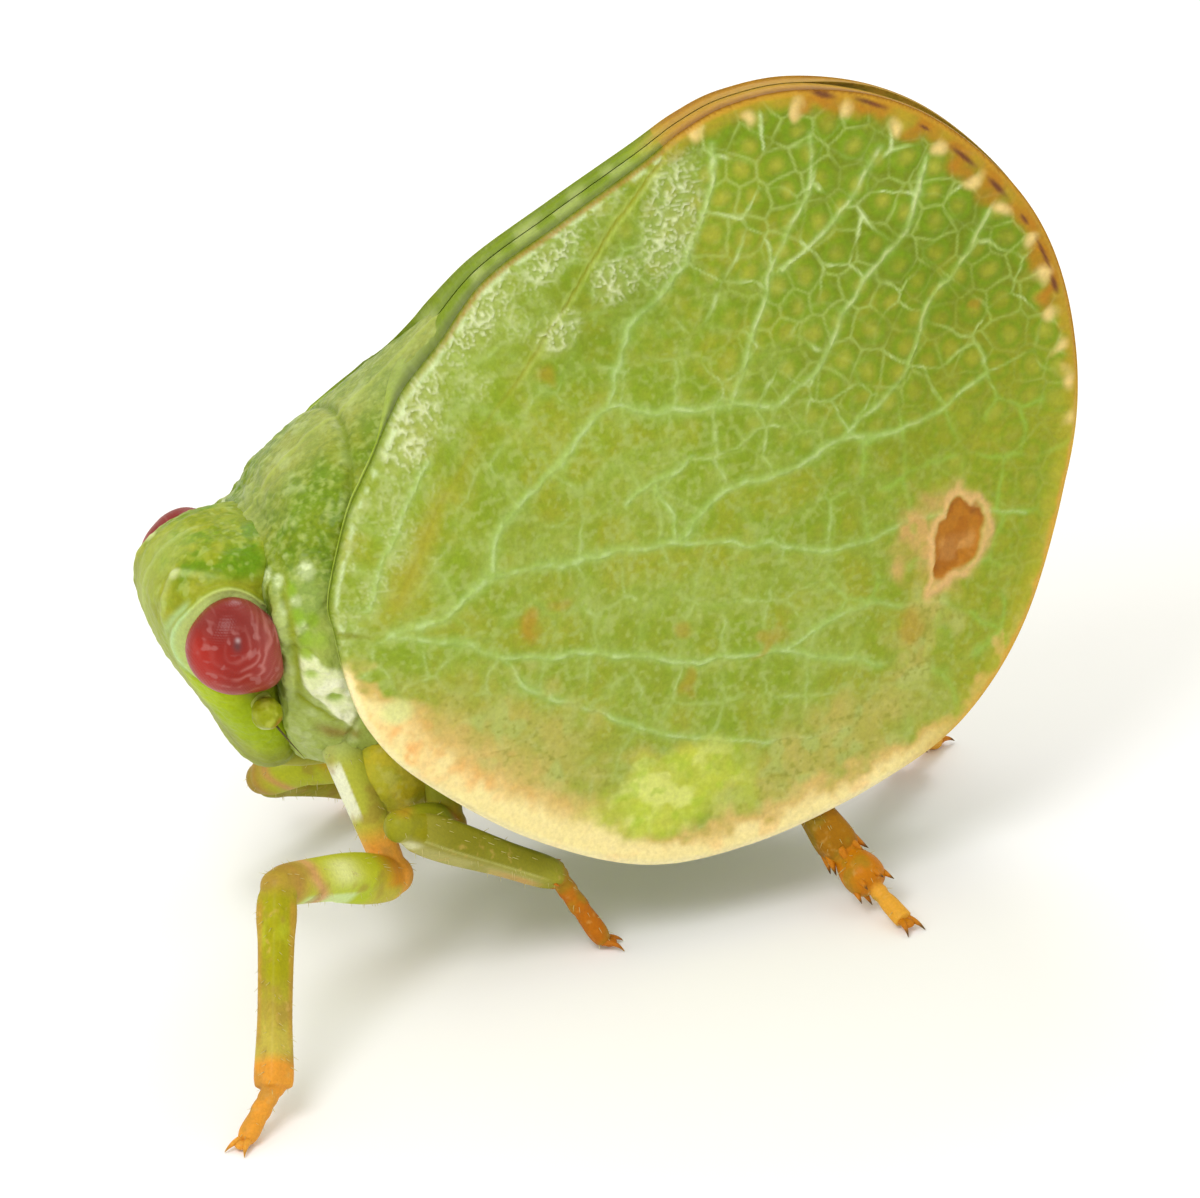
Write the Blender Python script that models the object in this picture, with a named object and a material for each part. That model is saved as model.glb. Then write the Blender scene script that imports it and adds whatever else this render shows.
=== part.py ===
# A small green planthopper at life size, standing with its wings folded like a roof.
# Everything is worked out in millimetres and turned into metres as each piece is made.
# The head looks towards -X, the left side of the insect is -Y, and the floor is z = 0.

import math

import bmesh
import bpy
import numpy as np
from mathutils import Vector
from mathutils.geometry import delaunay_2d_cdt

for old in list(bpy.data.objects):
    bpy.data.objects.remove(old)

# Driving dimensions in millimetres
MM = 0.001
GAP = 0.015
WING_THICK = 0.06
VEIN_HEIGHT = 0.022
VEIN_HALF = 0.028
EYE_DIAMETER = 0.475
EYE_SPACING = 1.04
THORAX_WIDTH = 1.36
CLAW_LENGTH = 0.10
FLAT_CUT = 0.0

# Colours of the living insect
GREEN = (0.24, 0.42, 0.05)
LIME = (0.42, 0.62, 0.08)
OLIVE = (0.30, 0.40, 0.07)
ORANGE = (0.72, 0.30, 0.06)
CRIMSON = (0.42, 0.02, 0.03)
CREAM = (0.75, 0.78, 0.50)

made = []


# Helpers that close, fuse, cut and place the solids

def material(name, colour, rough):
    mat = bpy.data.materials.new(name)
    mat.use_nodes = True
    shader = mat.node_tree.nodes["Principled BSDF"]
    shader.inputs["Base Color"].default_value = (*colour, 1.0)
    shader.inputs["Roughness"].default_value = rough
    shader.inputs["Metallic"].default_value = 0.0
    return mat


def largest_piece(bm):
    """Keep only the closed surface with the largest volume."""
    left = set(bm.faces)
    groups = []
    while left:
        stack = [left.pop()]
        group = []
        while stack:
            face = stack.pop()
            group.append(face)
            for edge in face.edges:
                for other in edge.link_faces:
                    if other in left:
                        left.remove(other)
                        stack.append(other)
        groups.append(group)

    def size(group):
        total = 0.0
        for face in group:
            base = face.verts[0].co
            for a, b in zip(face.verts[1:], face.verts[2:]):
                total += base.dot(a.co.cross(b.co)) / 6.0
        return abs(total)

    groups.sort(key=size)
    spare = [face for group in groups[:-1] for face in group]
    bmesh.ops.delete(bm, geom=spare, context="FACES")
    loose = [v for v in bm.verts if not v.link_faces]
    bmesh.ops.delete(bm, geom=loose, context="VERTS")


def finish(name, bm, colour, rough=0.45):
    """Turn a closed surface in millimetres into a named object in metres."""
    bmesh.ops.remove_doubles(bm, verts=bm.verts, dist=0.0005)
    bmesh.ops.triangulate(bm, faces=bm.faces)
    largest_piece(bm)
    bmesh.ops.recalc_face_normals(bm, faces=bm.faces)
    for face in bm.faces:
        face.smooth = True
    mesh = bpy.data.meshes.new(name)
    bm.to_mesh(mesh)
    bm.free()
    obj = bpy.data.objects.new(name, mesh)
    obj.data.materials.append(material(name, colour, rough))
    bpy.context.scene.collection.objects.link(obj)
    made.append(obj)
    return obj


def helper_object(bm, name="tool"):
    bmesh.ops.recalc_face_normals(bm, faces=bm.faces)
    mesh = bpy.data.meshes.new(name)
    bm.to_mesh(mesh)
    bm.free()
    obj = bpy.data.objects.new(name, mesh)
    bpy.context.scene.collection.objects.link(obj)
    return obj


def boolean(bm, others, operation):
    """Fuse or cut the first surface with a list of others in one step."""
    base = helper_object(bm, "base")
    group = bpy.data.collections.new("tools")
    bpy.context.scene.collection.children.link(group)
    tools = [helper_object(other) for other in others]
    for tool in tools:
        bpy.context.scene.collection.objects.unlink(tool)
        group.objects.link(tool)
    step = base.modifiers.new("step", "BOOLEAN")
    step.operation = operation
    step.solver = "EXACT"
    step.operand_type = "COLLECTION"
    step.collection = group
    graph = bpy.context.evaluated_depsgraph_get()
    result = bmesh.new()
    result.from_mesh(base.evaluated_get(graph).to_mesh())
    for thing in tools + [base]:
        bpy.data.objects.remove(thing)
    bpy.data.collections.remove(group)
    return result


def slice_off(bm, point, normal):
    """Cut away everything on the side that the normal points to, and cap the cut."""
    geom = list(bm.verts) + list(bm.edges) + list(bm.faces)
    bmesh.ops.bisect_plane(bm, geom=geom, dist=1e-5, plane_co=point, plane_no=normal,
                           clear_outer=True)
    rim = [edge for edge in bm.edges if edge.is_boundary]
    if rim:
        bmesh.ops.contextual_create(bm, geom=rim)
    return bm


def bridge(bm, rings, first_pole, last_pole):
    """Join closed rings of points into one closed surface."""
    rows = [[bm.verts.new(p) for p in ring] for ring in rings]
    count = len(rows[0])
    for low, high in zip(rows, rows[1:]):
        for i in range(count):
            j = (i + 1) % count
            bm.faces.new((low[i], low[j], high[j], high[i]))
    for row, pole, turn in ((rows[0], first_pole, -1), (rows[-1], last_pole, 1)):
        tip = bm.verts.new(pole)
        for i in range(count):
            j = (i + 1) % count
            bm.faces.new((row[i], row[j], tip) if turn == 1 else (row[j], row[i], tip))
    return bm


def smooth_path(points, steps):
    """A rounded path through hand-placed points (Catmull-Rom)."""
    pts = [Vector(p) for p in points]
    pts = [pts[0] * 2 - pts[1]] + pts + [pts[-1] * 2 - pts[-2]]
    path = []
    for p0, p1, p2, p3 in zip(pts, pts[1:], pts[2:], pts[3:]):
        for k in range(steps):
            t = k / steps
            path.append(0.5 * (2 * p1 + (p2 - p0) * t + (2 * p0 - 5 * p1 + 4 * p2 - p3) * t * t
                               + (3 * p1 - p0 - 3 * p2 + p3) * t ** 3))
    path.append(pts[-2].copy())
    return path


def superellipse(angle, power):
    c, s = math.cos(angle), math.sin(angle)
    return (math.copysign(abs(c) ** (2 / power), c), math.copysign(abs(s) ** (2 / power), s))


def limb(start, end, radii, flatten=1.0, count=10, bow=0.0, round_ends=True):
    """A leg segment: a tapering tube with rounded ends. radii is (share of length, radius)."""
    start, end = Vector(start), Vector(end)
    axis = (end - start).normalized()
    side = axis.cross(Vector((0, 0, 1)))
    if side.length < 0.05:
        side = axis.cross(Vector((1, 0, 0)))
    side.normalize()
    up = side.cross(axis).normalized()
    length = (end - start).length
    rings = []
    for share, radius in radii:
        lift = bow * math.sin(math.pi * share)
        centre = start + axis * (length * share) + up * lift
        ring = []
        for i in range(count):
            angle = 2 * math.pi * i / count
            ring.append(centre + side * (radius * flatten * math.cos(angle))
                        + up * (radius * math.sin(angle)))
        rings.append(ring)
    bm = bmesh.new()
    reach = 0.35 if round_ends else 0.05
    return bridge(bm, rings, start - axis * radii[0][1] * reach, end + axis * radii[-1][1] * reach)


def spike(base, tip, radius, count=5):
    """A tapering spine or claw."""
    base, tip = Vector(base), Vector(tip)
    axis = (tip - base).normalized()
    side = axis.orthogonal().normalized()
    up = axis.cross(side)
    rings = []
    for share, width in ((0.0, 1.0), (0.75, 0.55)):
        centre = base.lerp(tip, share)
        rings.append([centre + (side * math.cos(2 * math.pi * i / count)
                                + up * math.sin(2 * math.pi * i / count)) * radius * width
                      for i in range(count)])
    return bridge(bmesh.new(), rings, base - axis * radius * 0.2, tip)


def ball(centre, radii, rings=8, count=14):
    """An ellipsoid made of rings round the Y axis."""
    cx, cy, cz = centre
    rows = []
    for k in range(1, rings):
        polar = math.pi * k / rings
        rows.append([(cx + radii[0] * math.sin(polar) * math.cos(2 * math.pi * i / count),
                      cy - radii[1] * math.cos(polar),
                      cz + radii[2] * math.sin(polar) * math.sin(2 * math.pi * i / count))
                     for i in range(count)])
    return bridge(bmesh.new(), rows, (cx, cy - radii[1], cz), (cx, cy + radii[1], cz))


def body_loft(stations, count=28):
    """A body form along the X-Z plane.

    Each station is (x, z, pitch, top, bottom, half width, power): rings stand across a path
    that rises at the pitch in degrees."""
    rings = []
    for x, z, pitch, top, bottom, half, power in stations:
        tilt = math.radians(pitch)
        up = Vector((-math.sin(tilt), 0, math.cos(tilt)))
        ring = []
        for i in range(count):
            c, s = superellipse(2 * math.pi * i / count, power)
            height = top * s if s > 0 else bottom * s
            ring.append(Vector((x, 0, z)) + Vector((0, half * c, 0)) + up * height)
        rings.append(ring)
    first, last = stations[0], stations[-1]

    def pole(station, sign):
        x, z, pitch, top, bottom, half, power = station
        tilt = math.radians(pitch)
        reach = 0.18 * half * sign
        middle = (top - bottom) / 2
        return Vector((x - middle * math.sin(tilt) + reach * math.cos(tilt), 0,
                       z + middle * math.cos(tilt) + reach * math.sin(tilt)))

    return bridge(bmesh.new(), rings, pole(first, -1), pole(last, 1))


# Lean of the folded forewings: how far the wing stands out from the middle plane
RIDGE = (-0.85, 3.4)
RIDGE_DIRECTION = (0.82, 0.57)
LEAN_ALONG = (-1.7, -1.35, -0.5, 0.0, 0.66, 1.8, 2.3, 2.8)
LEAN_WIDTH = (0.82, 0.80, 0.69, 0.61, 0.46, 0.15, 0.08, 0.05)
TURN_ALONG = (-1.6, -1.3, -0.8, -0.45, -0.1, 0.5, 2.5)
TURN_DEPTH = (0.42, 0.40, 0.27, 0.40, 0.85, 1.0, 1.0)
WING_INNER = 0.048


def lean(x, z):
    """Distance of the wing's middle surface from the middle plane at a side-view point."""
    px, pz = x - RIDGE[0], z - RIDGE[1]
    along = RIDGE_DIRECTION[0] * px + RIDGE_DIRECTION[1] * pz
    below = max(RIDGE_DIRECTION[1] * px - RIDGE_DIRECTION[0] * pz, 0.0)
    width = float(np.interp(along, LEAN_ALONG, LEAN_WIDTH))
    depth = float(np.interp(along, TURN_ALONG, TURN_DEPTH))
    return WING_INNER + (width - WING_INNER) * (1 - math.exp(-below / depth))


def tuck_in(bm, clear):
    """Keep a body form inside the roof of the two forewings."""
    for v in bm.verts:
        limit = lean(v.co.x, v.co.z) - WING_THICK / 2 - clear
        if abs(v.co.y) > limit:
            v.co.y = math.copysign(max(limit, 0.004), v.co.y)
    return bm


# The forewings: outline and main veins as side-view points (x, z)
WING_EDGE = [(-1.53, 2.14), (-1.43, 2.45), (-1.34, 2.64), (-1.23, 2.77), (-1.06, 2.97),
             (-0.81, 3.17), (-0.54, 3.45), (-0.14, 3.69), (0.28, 3.93), (0.51, 4.07),
             (0.75, 4.16), (1.10, 4.18), (1.52, 4.07), (1.89, 3.83), (2.25, 3.41),
             (2.44, 2.95), (2.50, 2.40), (2.41, 1.88), (2.13, 1.22), (1.75, 0.81),
             (1.28, 0.60), (0.60, 0.45), (0.00, 0.46), (-0.61, 0.74), (-1.16, 1.17),
             (-1.39, 1.46), (-1.48, 1.71), (-1.52, 1.97)]


def edge_loop(points, spacing):
    """A closed rounded outline, sampled at an even spacing."""
    count = len(points)
    dense = []
    for i in range(count):
        p0, p1, p2, p3 = (Vector(points[(i + k - 1) % count]) for k in range(4))
        for k in range(8):
            t = k / 8
            dense.append(0.5 * (2 * p1 + (p2 - p0) * t + (2 * p0 - 5 * p1 + 4 * p2 - p3) * t * t
                                + (3 * p1 - p0 - 3 * p2 + p3) * t ** 3))
    total = sum((a - b).length for a, b in zip(dense, dense[1:] + dense[:1]))
    number = int(total / spacing)
    result, walked, want = [], 0.0, 0.0
    for a, b in zip(dense, dense[1:] + dense[:1]):
        step = (b - a).length
        while want < walked + step and len(result) < number:
            result.append(a.lerp(b, (want - walked) / step))
            want += total / number
        walked += step
    return result


def vein(points, steps=3):
    return [Vector((p.x, p.y)) for p in smooth_path([(x, z, 0.0) for x, z in points], steps)]


VEINS = [
    # claval suture, from the wing base up to the tip of the clavus
    vein([(-1.20, 2.12), (-0.95, 2.52), (-0.67, 2.77), (-0.31, 3.13), (-0.05, 3.45),
          (0.14, 3.68), (0.38, 3.94)]),
    # vein inside the clavus
    vein([(-1.38, 2.20), (-1.16, 2.58), (-0.82, 2.96), (-0.45, 3.28)]),
    # the stem from the shoulder and its long middle vein
    vein([(-1.26, 1.93), (-0.94, 2.01), (-0.71, 2.15), (-0.34, 2.11), (0.27, 2.08)]),
    vein([(0.27, 2.08), (0.55, 2.26), (0.96, 2.31), (1.18, 2.39), (1.55, 2.36), (2.00, 2.52)]),
    vein([(0.27, 2.08), (0.72, 1.96), (1.20, 1.84), (1.70, 1.90), (2.16, 1.78)]),
    # the upper vein, its level arm and the two forks that reach the apical margin
    vein([(-0.71, 2.15), (-0.64, 2.37), (-0.35, 2.52), (-0.02, 2.78), (0.27, 2.71),
          (0.62, 2.67), (0.85, 2.62), (1.16, 2.81), (1.30, 3.10)]),
    vein([(1.30, 3.10), (1.52, 3.38), (1.62, 3.74)]),
    vein([(1.30, 3.10), (1.70, 3.06), (2.12, 3.16)]),
    vein([(-0.02, 2.78), (0.14, 3.14), (0.44, 3.42), (0.60, 3.72), (0.64, 3.98)]),
    vein([(0.62, 2.67), (0.80, 3.06), (0.94, 3.40), (1.12, 3.68), (1.14, 3.96)]),
    # the two lower veins that run along the costal side
    vein([(-1.26, 1.93), (-0.89, 1.84), (-0.69, 1.73), (-0.06, 1.59), (0.29, 1.46),
          (0.80, 1.40), (1.30, 1.22)]),
    vein([(-0.69, 1.73), (-0.61, 1.58), (-0.33, 1.39), (0.16, 1.13), (0.60, 0.98), (1.10, 0.92)]),
    vein([(0.80, 1.40), (1.20, 1.52), (1.70, 1.42)]),
]


def distance_to_veins(x, z):
    """Distance to the nearest vein line."""
    best = 9.0
    for line in VEIN_ARRAYS:
        a, d, sq = line
        t = np.clip(((x - a[:, 0]) * d[:, 0] + (z - a[:, 1]) * d[:, 1]) / sq, 0, 1)
        gap = np.hypot(a[:, 0] + d[:, 0] * t - x, a[:, 1] + d[:, 1] * t - z)
        best = min(best, float(gap.min()))
    return best


def vein_arrays():
    arrays = []
    for line in VEINS:
        pts = np.array([(p.x, p.y) for p in line])
        d = pts[1:] - pts[:-1]
        arrays.append((pts[:-1], d, (d ** 2).sum(axis=1)))
    return arrays


VEIN_ARRAYS = vein_arrays()


def wing_plan():
    """Flat triangulation of the wing that holds its outline and both feet of each vein."""
    rim = edge_loop(WING_EDGE, 0.13)
    points = list(rim)
    edges = [(i, (i + 1) % len(rim)) for i in range(len(rim))]
    for line in VEINS:
        for shift in (-VEIN_HALF, 0.0, VEIN_HALF):
            first = len(points)
            for i, p in enumerate(line):
                ahead = line[min(i + 1, len(line) - 1)] - line[max(i - 1, 0)]
                across = Vector((-ahead.y, ahead.x)).normalized()
                points.append(p + across * shift)
            edges += [(k, k + 1) for k in range(first, len(points) - 1)]
    centre = Vector((0.5, 2.3))
    for i in range(-14, 15):
        for k in range(-14, 15):
            p = centre + Vector((i * 0.22 + (k % 2) * 0.11, k * 0.2))
            if distance_to_veins(p.x, p.y) > 0.09 and clear_of_rim(p, rim, 0.08):
                points.append(p)
    found = delaunay_2d_cdt(points, edges, [], 1, 0.004)
    return found[0], found[2]


def clear_of_rim(p, rim, margin):
    inside = False
    for a, b in zip(rim, rim[1:] + rim[:1]):
        if (a.y > p.y) != (b.y > p.y):
            if p.x < a.x + (p.y - a.y) / (b.y - a.y) * (b.x - a.x):
                inside = not inside
        if (a - p).length < margin:
            return False
    return inside


def tegmen(name, side, plan):
    """One forewing: the same triangles on both faces, with the veins raised outside."""
    verts, faces = plan
    bm = bmesh.new()
    outer, inner = [], []
    for p in verts:
        base = lean(p.x, p.y)
        near = distance_to_veins(p.x, p.y)
        rise = VEIN_HEIGHT * max(0.0, 1 - near / VEIN_HALF)
        outer.append(bm.verts.new((p.x, side * (base + WING_THICK / 2 + rise), p.y)))
        inner.append(bm.verts.new((p.x, side * (base - WING_THICK / 2), p.y)))
    used = {}
    for face in faces:
        bm.faces.new([outer[i] for i in face])
        bm.faces.new([inner[i] for i in reversed(face)])
        for a, b in zip(face, face[1:] + face[:1]):
            used[(a, b)] = True
    for a, b in used:
        if (b, a) not in used:
            bm.faces.new((outer[b], outer[a], inner[a], inner[b]))
    for v in [v for v in bm.verts if not v.link_faces]:
        bm.verts.remove(v)
    return finish(name, bm, GREEN, 0.4)


plan = wing_plan()
tegmen("tegmen_left", -1, plan)
tegmen("tegmen_right", 1, plan)

# The head: a blunt capsule cut off straight at the neck, with a socket for each eye
NECK_POINT = Vector((-1.755, 0, 1.9))
NECK_NORMAL = Vector((-0.994, 0, -0.107))
EYE_CENTRE = (-1.975, EYE_SPACING / 2, 1.91)
EYE_RADII = (EYE_DIAMETER / 2, 0.19, EYE_DIAMETER / 2)
# The head is turned a little, so the right eye sits further back
HEAD_TURN = 0.05


def head_rings(levels, count=28):
    """Level rings, each (z, front x, back x, half width, power)."""
    rings = []
    for z, front, back, half, power in levels:
        ring = []
        for i in range(count):
            c, s = superellipse(2 * math.pi * i / count, power)
            ring.append(Vector(((front + back) / 2 - (back - front) / 2 * c, half * s, z)))
        rings.append(ring)
    low, high = levels[0], levels[-1]
    return bridge(bmesh.new(), rings, Vector(((low[1] + low[2]) / 2, 0, low[0] - 0.01)),
                  Vector(((high[1] + high[2]) / 2, 0, high[0] + 0.02)))


def eye_form(side, grow):
    setback = HEAD_TURN if side > 0 else 0.0
    centre = (EYE_CENTRE[0] + setback, side * EYE_CENTRE[1], EYE_CENTRE[2])
    return ball(centre, tuple(r + grow for r in EYE_RADII), 12, 22)


head = head_rings([(1.30, -1.965, -1.45, 0.34, 2.6), (1.42, -2.03, -1.45, 0.39, 2.6),
                   (1.56, -2.11, -1.45, 0.43, 2.6), (1.72, -2.20, -1.45, 0.47, 2.6),
                   (1.88, -2.265, -1.45, 0.49, 2.7), (2.00, -2.285, -1.45, 0.48, 2.7),
                   (2.10, -2.27, -1.45, 0.46, 2.6), (2.19, -2.21, -1.5, 0.42, 2.5),
                   (2.27, -2.11, -1.55, 0.36, 2.4), (2.33, -1.98, -1.6, 0.27, 2.3)])
slice_off(head, NECK_POINT, -NECK_NORMAL)
head = boolean(head, [eye_form(-1, GAP), eye_form(1, GAP)], "DIFFERENCE")
finish("head", head, LIME)
for side, word in ((-1, "left"), (1, "right")):
    eye = slice_off(eye_form(side, 0.0), NECK_POINT - NECK_NORMAL * GAP, -NECK_NORMAL)
    finish("eye_" + word, eye, CRIMSON, 0.25)

# The clypeus closes the face below, and the beak lies back between the legs
clypeus = head_rings([(0.92, -1.74, -1.60, 0.08, 2.2), (0.98, -1.81, -1.52, 0.14, 2.2),
                      (1.07, -1.86, -1.50, 0.20, 2.2), (1.18, -1.915, -1.46, 0.26, 2.2),
                      (1.283, -1.955, -1.45, 0.31, 2.2)])
slice_off(clypeus, Vector((0, 0, 1.3 - GAP)), Vector((0, 0, 1)))
slice_off(clypeus, NECK_POINT, -NECK_NORMAL)
finish("clypeus", clypeus, LIME)
BEAK_START = (-1.60, 0, 0.93)
BEAK_END = (-0.86, 0, 0.93)
BEAK = [(0, 0.05), (0.15, 0.065), (0.5, 0.06), (0.8, 0.045), (1, 0.025)]
finish("beak", limb(BEAK_START, BEAK_END, BEAK), OLIVE)

# Each antenna: a short stalk, a round bulb and a hair-thin bristle
for side, word in ((-1, "left"), (1, "right")):
    stalk = limb((-1.84, side * 0.445, 1.525), (-1.84, side * 0.50, 1.53),
                 [(0, 0.04), (1, 0.045)], count=10)
    bulb = ball((-1.84, side * 0.55, 1.53), (0.074, 0.08, 0.078), 8, 12)
    bristle = spike((-1.825, side * 0.59, 1.50), (-1.70, side * 0.74, 1.335), 0.016)
    finish("antenna_" + word, boolean(stalk, [bulb, bristle], "UNION"), OLIVE)

# The thorax is one form, cut into the collar, the back and the underside
COLLAR_POINT = Vector((-1.24, 0, 2.92))
COLLAR_NORMAL = Vector((0.96, 0, -0.277)).normalized()
SIDE_POINT = Vector((-1.56, 0, 2.05))
SIDE_NORMAL = Vector((-1.10, 0, 1.02)).normalized()


def thorax_form():
    half = THORAX_WIDTH / 2
    bm = body_loft([
        (-1.86, 1.88, 20, 0.36, 0.92, 0.50, 2.2), (-1.72, 1.93, 20, 0.435, 1.03, 0.58, 2.2),
        (-1.56, 1.98, 20, 0.515, 1.09, 0.65, 2.2), (-1.40, 2.04, 20, 0.59, 1.10, half, 2.2),
        (-1.22, 2.11, 20, 0.665, 1.06, half, 2.2), (-1.02, 2.18, 20, 0.73, 1.02, half, 2.2),
        (-0.82, 2.25, 20, 0.785, 0.98, half, 2.2), (-0.62, 2.32, 20, 0.85, 0.94, 0.64, 2.2),
        (-0.42, 2.39, 20, 0.915, 0.88, 0.58, 2.2), (-0.28, 2.44, 20, 0.9, 0.80, 0.5, 2.2)], 32)
    tuck_in(bm, 0.04)
    slice_off(bm, NECK_POINT - NECK_NORMAL * GAP, NECK_NORMAL)
    return bm


collar = thorax_form()
slice_off(collar, COLLAR_POINT, COLLAR_NORMAL)
slice_off(collar, SIDE_POINT, Vector((-0.3, 0, -0.95)).normalized())
finish("pronotum", collar, GREEN)
back = thorax_form()
slice_off(back, COLLAR_POINT + COLLAR_NORMAL * GAP, -COLLAR_NORMAL)
slice_off(back, SIDE_POINT, -SIDE_NORMAL)
finish("mesonotum", back, GREEN)
chest = thorax_form()
slice_off(chest, SIDE_POINT - SIDE_NORMAL * GAP, SIDE_NORMAL)
slice_off(chest, SIDE_POINT + Vector((0, 0, -GAP * 1.4)), Vector((0.3, 0, 0.95)).normalized())
WAIST_POINT = Vector((-0.34, 0, 2.43))
WAIST_NORMAL = Vector((0.94, 0, 0.342))
slice_off(chest, WAIST_POINT, WAIST_NORMAL)

# The abdomen narrows to the tail end, with shallow grooves between its rings
stations = []
RINGS = 7
for k in range(RINGS * 3 + 1):
    t = k / (RINGS * 3)
    groove = 0.035 if k % 3 == 0 and 0 < k < RINGS * 3 else 0.0
    swell = math.sin(math.pi * min(0.5 + t * 0.62, 1.0)) ** 0.6
    stations.append((-0.32 + 1.55 * t, 2.22 + 0.42 * t, 15, 0.62 * swell - groove + 0.05,
                     0.78 * swell - groove + 0.05, 0.50 * swell - groove + 0.03, 2.1))
abdomen = body_loft(stations, 24)
tuck_in(abdomen, 0.05)
slice_off(abdomen, WAIST_POINT + WAIST_NORMAL * GAP, -WAIST_NORMAL)
finish("abdomen", abdomen, LIME)

# The tail ends in a short tube between the wings
finish("tail", limb((1.27, 0, 2.66), (1.52, 0, 2.70), [(0, 0.10), (0.4, 0.12), (0.8, 0.10),
                                                  (1, 0.07)], count=14), LIME)

# A scale covers the root of each forewing
for side, word in ((-1, "left"), (1, "right")):
    finish("tegula_" + word, ball((-1.60, side * 0.715, 1.82), (0.07, 0.045, 0.19), 8, 14), CREAM)

# The legs: hip, thigh, shin and foot, with paired claws

def scaled(shape, width, grow=0.0):
    return [(share, radius * width + grow) for share, radius in shape]


FOOT = [(0, 0.75), (0.10, 1.0), (0.28, 1.05), (0.33, 0.72), (0.38, 0.95), (0.58, 0.95),
        (0.63, 0.66), (0.70, 0.8), (1.0, 0.9)]
HIND_FOOT = [(0, 1.0), (0.10, 1.35), (0.34, 1.6), (0.42, 1.45), (0.45, 0.8), (0.50, 0.9),
             (0.66, 0.9), (0.70, 0.66), (0.76, 0.8), (1.0, 0.9)]


def foot(ankle, toe, width, shape, claw_spread=0.045):
    """A three-jointed foot that ends in two claws and a pad, cut flat where it stands."""
    ankle, toe = Vector(ankle), Vector(toe)
    axis = (toe - ankle).normalized()
    flat = Vector((axis.x, axis.y, 0)).normalized()
    across = Vector((-flat.y, flat.x, 0))
    base = limb(ankle, toe, scaled(shape, width))
    pad = limb(toe - flat * 0.03 + Vector((0, 0, -0.01)), toe + flat * 0.055 + Vector((0, 0, -0.015)),
               [(0, 0.035), (0.5, 0.04), (1, 0.026)], count=8)
    claws = []
    for turn in (-1, 1):
        tip = toe + flat * CLAW_LENGTH + across * (turn * claw_spread * 1.25)
        tip.z = 0.012
        claws.append(spike(toe + across * (turn * 0.018), tip, 0.018))
    if shape is HIND_FOOT:
        side = axis.orthogonal().normalized()
        up = axis.cross(side)
        for k in range(4):
            out = side * math.cos(1.57 * k + 0.5) + up * math.sin(1.57 * k + 0.5)
            root = ankle.lerp(toe, 0.40) + out * width * 1.3
            claws.append(spike(root, root + axis * 0.06 + out * 0.02, 0.013))
    bm = boolean(base, [pad] + claws, "UNION")
    return slice_off(bm, Vector((0, 0, FLAT_CUT)), Vector((0, 0, -1)))


LEGS = [
    # word, hip, knee base, knee, ankle, toe, thickness
    ("front_left", (-1.46, -0.42, 1.20), (-1.26, -0.63, 0.62), (-2.01, -1.25, 0.955),
     (-2.23, -1.85, 0.20), (-2.43, -2.03, 0.04), 0.092),
    ("front_right", (-1.42, 0.42, 1.20), (-1.14, 0.44, 0.72), (-1.58, 0.86, 0.42),
     (-0.92, 1.20, 0.13), (-0.68, 1.32, 0.04), 0.092),
    ("middle_left", (-0.98, -0.40, 1.22), (-0.96, -0.60, 0.78), (-1.32, -0.87, 0.96),
     (-0.43, -0.65, 0.42), (-0.22, -0.70, 0.045), 0.092),
    ("middle_right", (-0.98, 0.40, 1.22), (-0.88, 0.56, 0.66), (-0.80, 1.12, 0.84),
     (-0.42, 1.30, 0.30), (-0.26, 1.40, 0.04), 0.092),
    ("hind_left", (-0.50, -0.27, 1.45), (-0.42, -0.28, 1.12), (0.50, -0.22, 1.26),
     (1.00, -0.60, 0.20), (1.235, -1.02, 0.04), 0.095),
    ("hind_right", (-0.50, 0.27, 1.45), (-0.42, 0.28, 1.12), (0.76, 0.15, 1.26),
     (1.66, 0.50, 0.26), (2.00, 0.78, 0.04), 0.095),
]

THIGH = [(0, 0.55), (0.08, 0.85), (0.35, 1.05), (0.7, 0.98), (0.93, 0.9), (1, 0.7)]
SHIN = [(0, 0.62), (0.06, 0.88), (0.3, 0.9), (0.65, 0.88), (0.9, 0.95), (1, 0.75)]
HIND_SHIN = [(0, 0.5), (0.06, 0.68), (0.4, 0.72), (0.75, 0.9), (0.93, 1.12), (1, 0.9)]
FRONT_THIGH_WIDTH = 1.2
HIP = [(0, 0.9), (0.15, 1.25), (0.5, 1.15), (0.85, 0.95), (1, 0.75)]


def apical_spines(a, b, thick, number):
    """Short spines in a crown round the end of a shin."""
    axis = (Vector(b) - Vector(a)).normalized()
    side = axis.orthogonal().normalized()
    up = axis.cross(side)
    spines = []
    for k in range(number):
        out = side * math.cos(math.pi * k / 3 + 0.4) + up * math.sin(math.pi * k / 3 + 0.4)
        root = Vector(b) - axis * 0.05 + out * thick * 0.8
        spines.append(spike(root, root + axis * 0.085 + out * 0.035, 0.016))
    return spines


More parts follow.
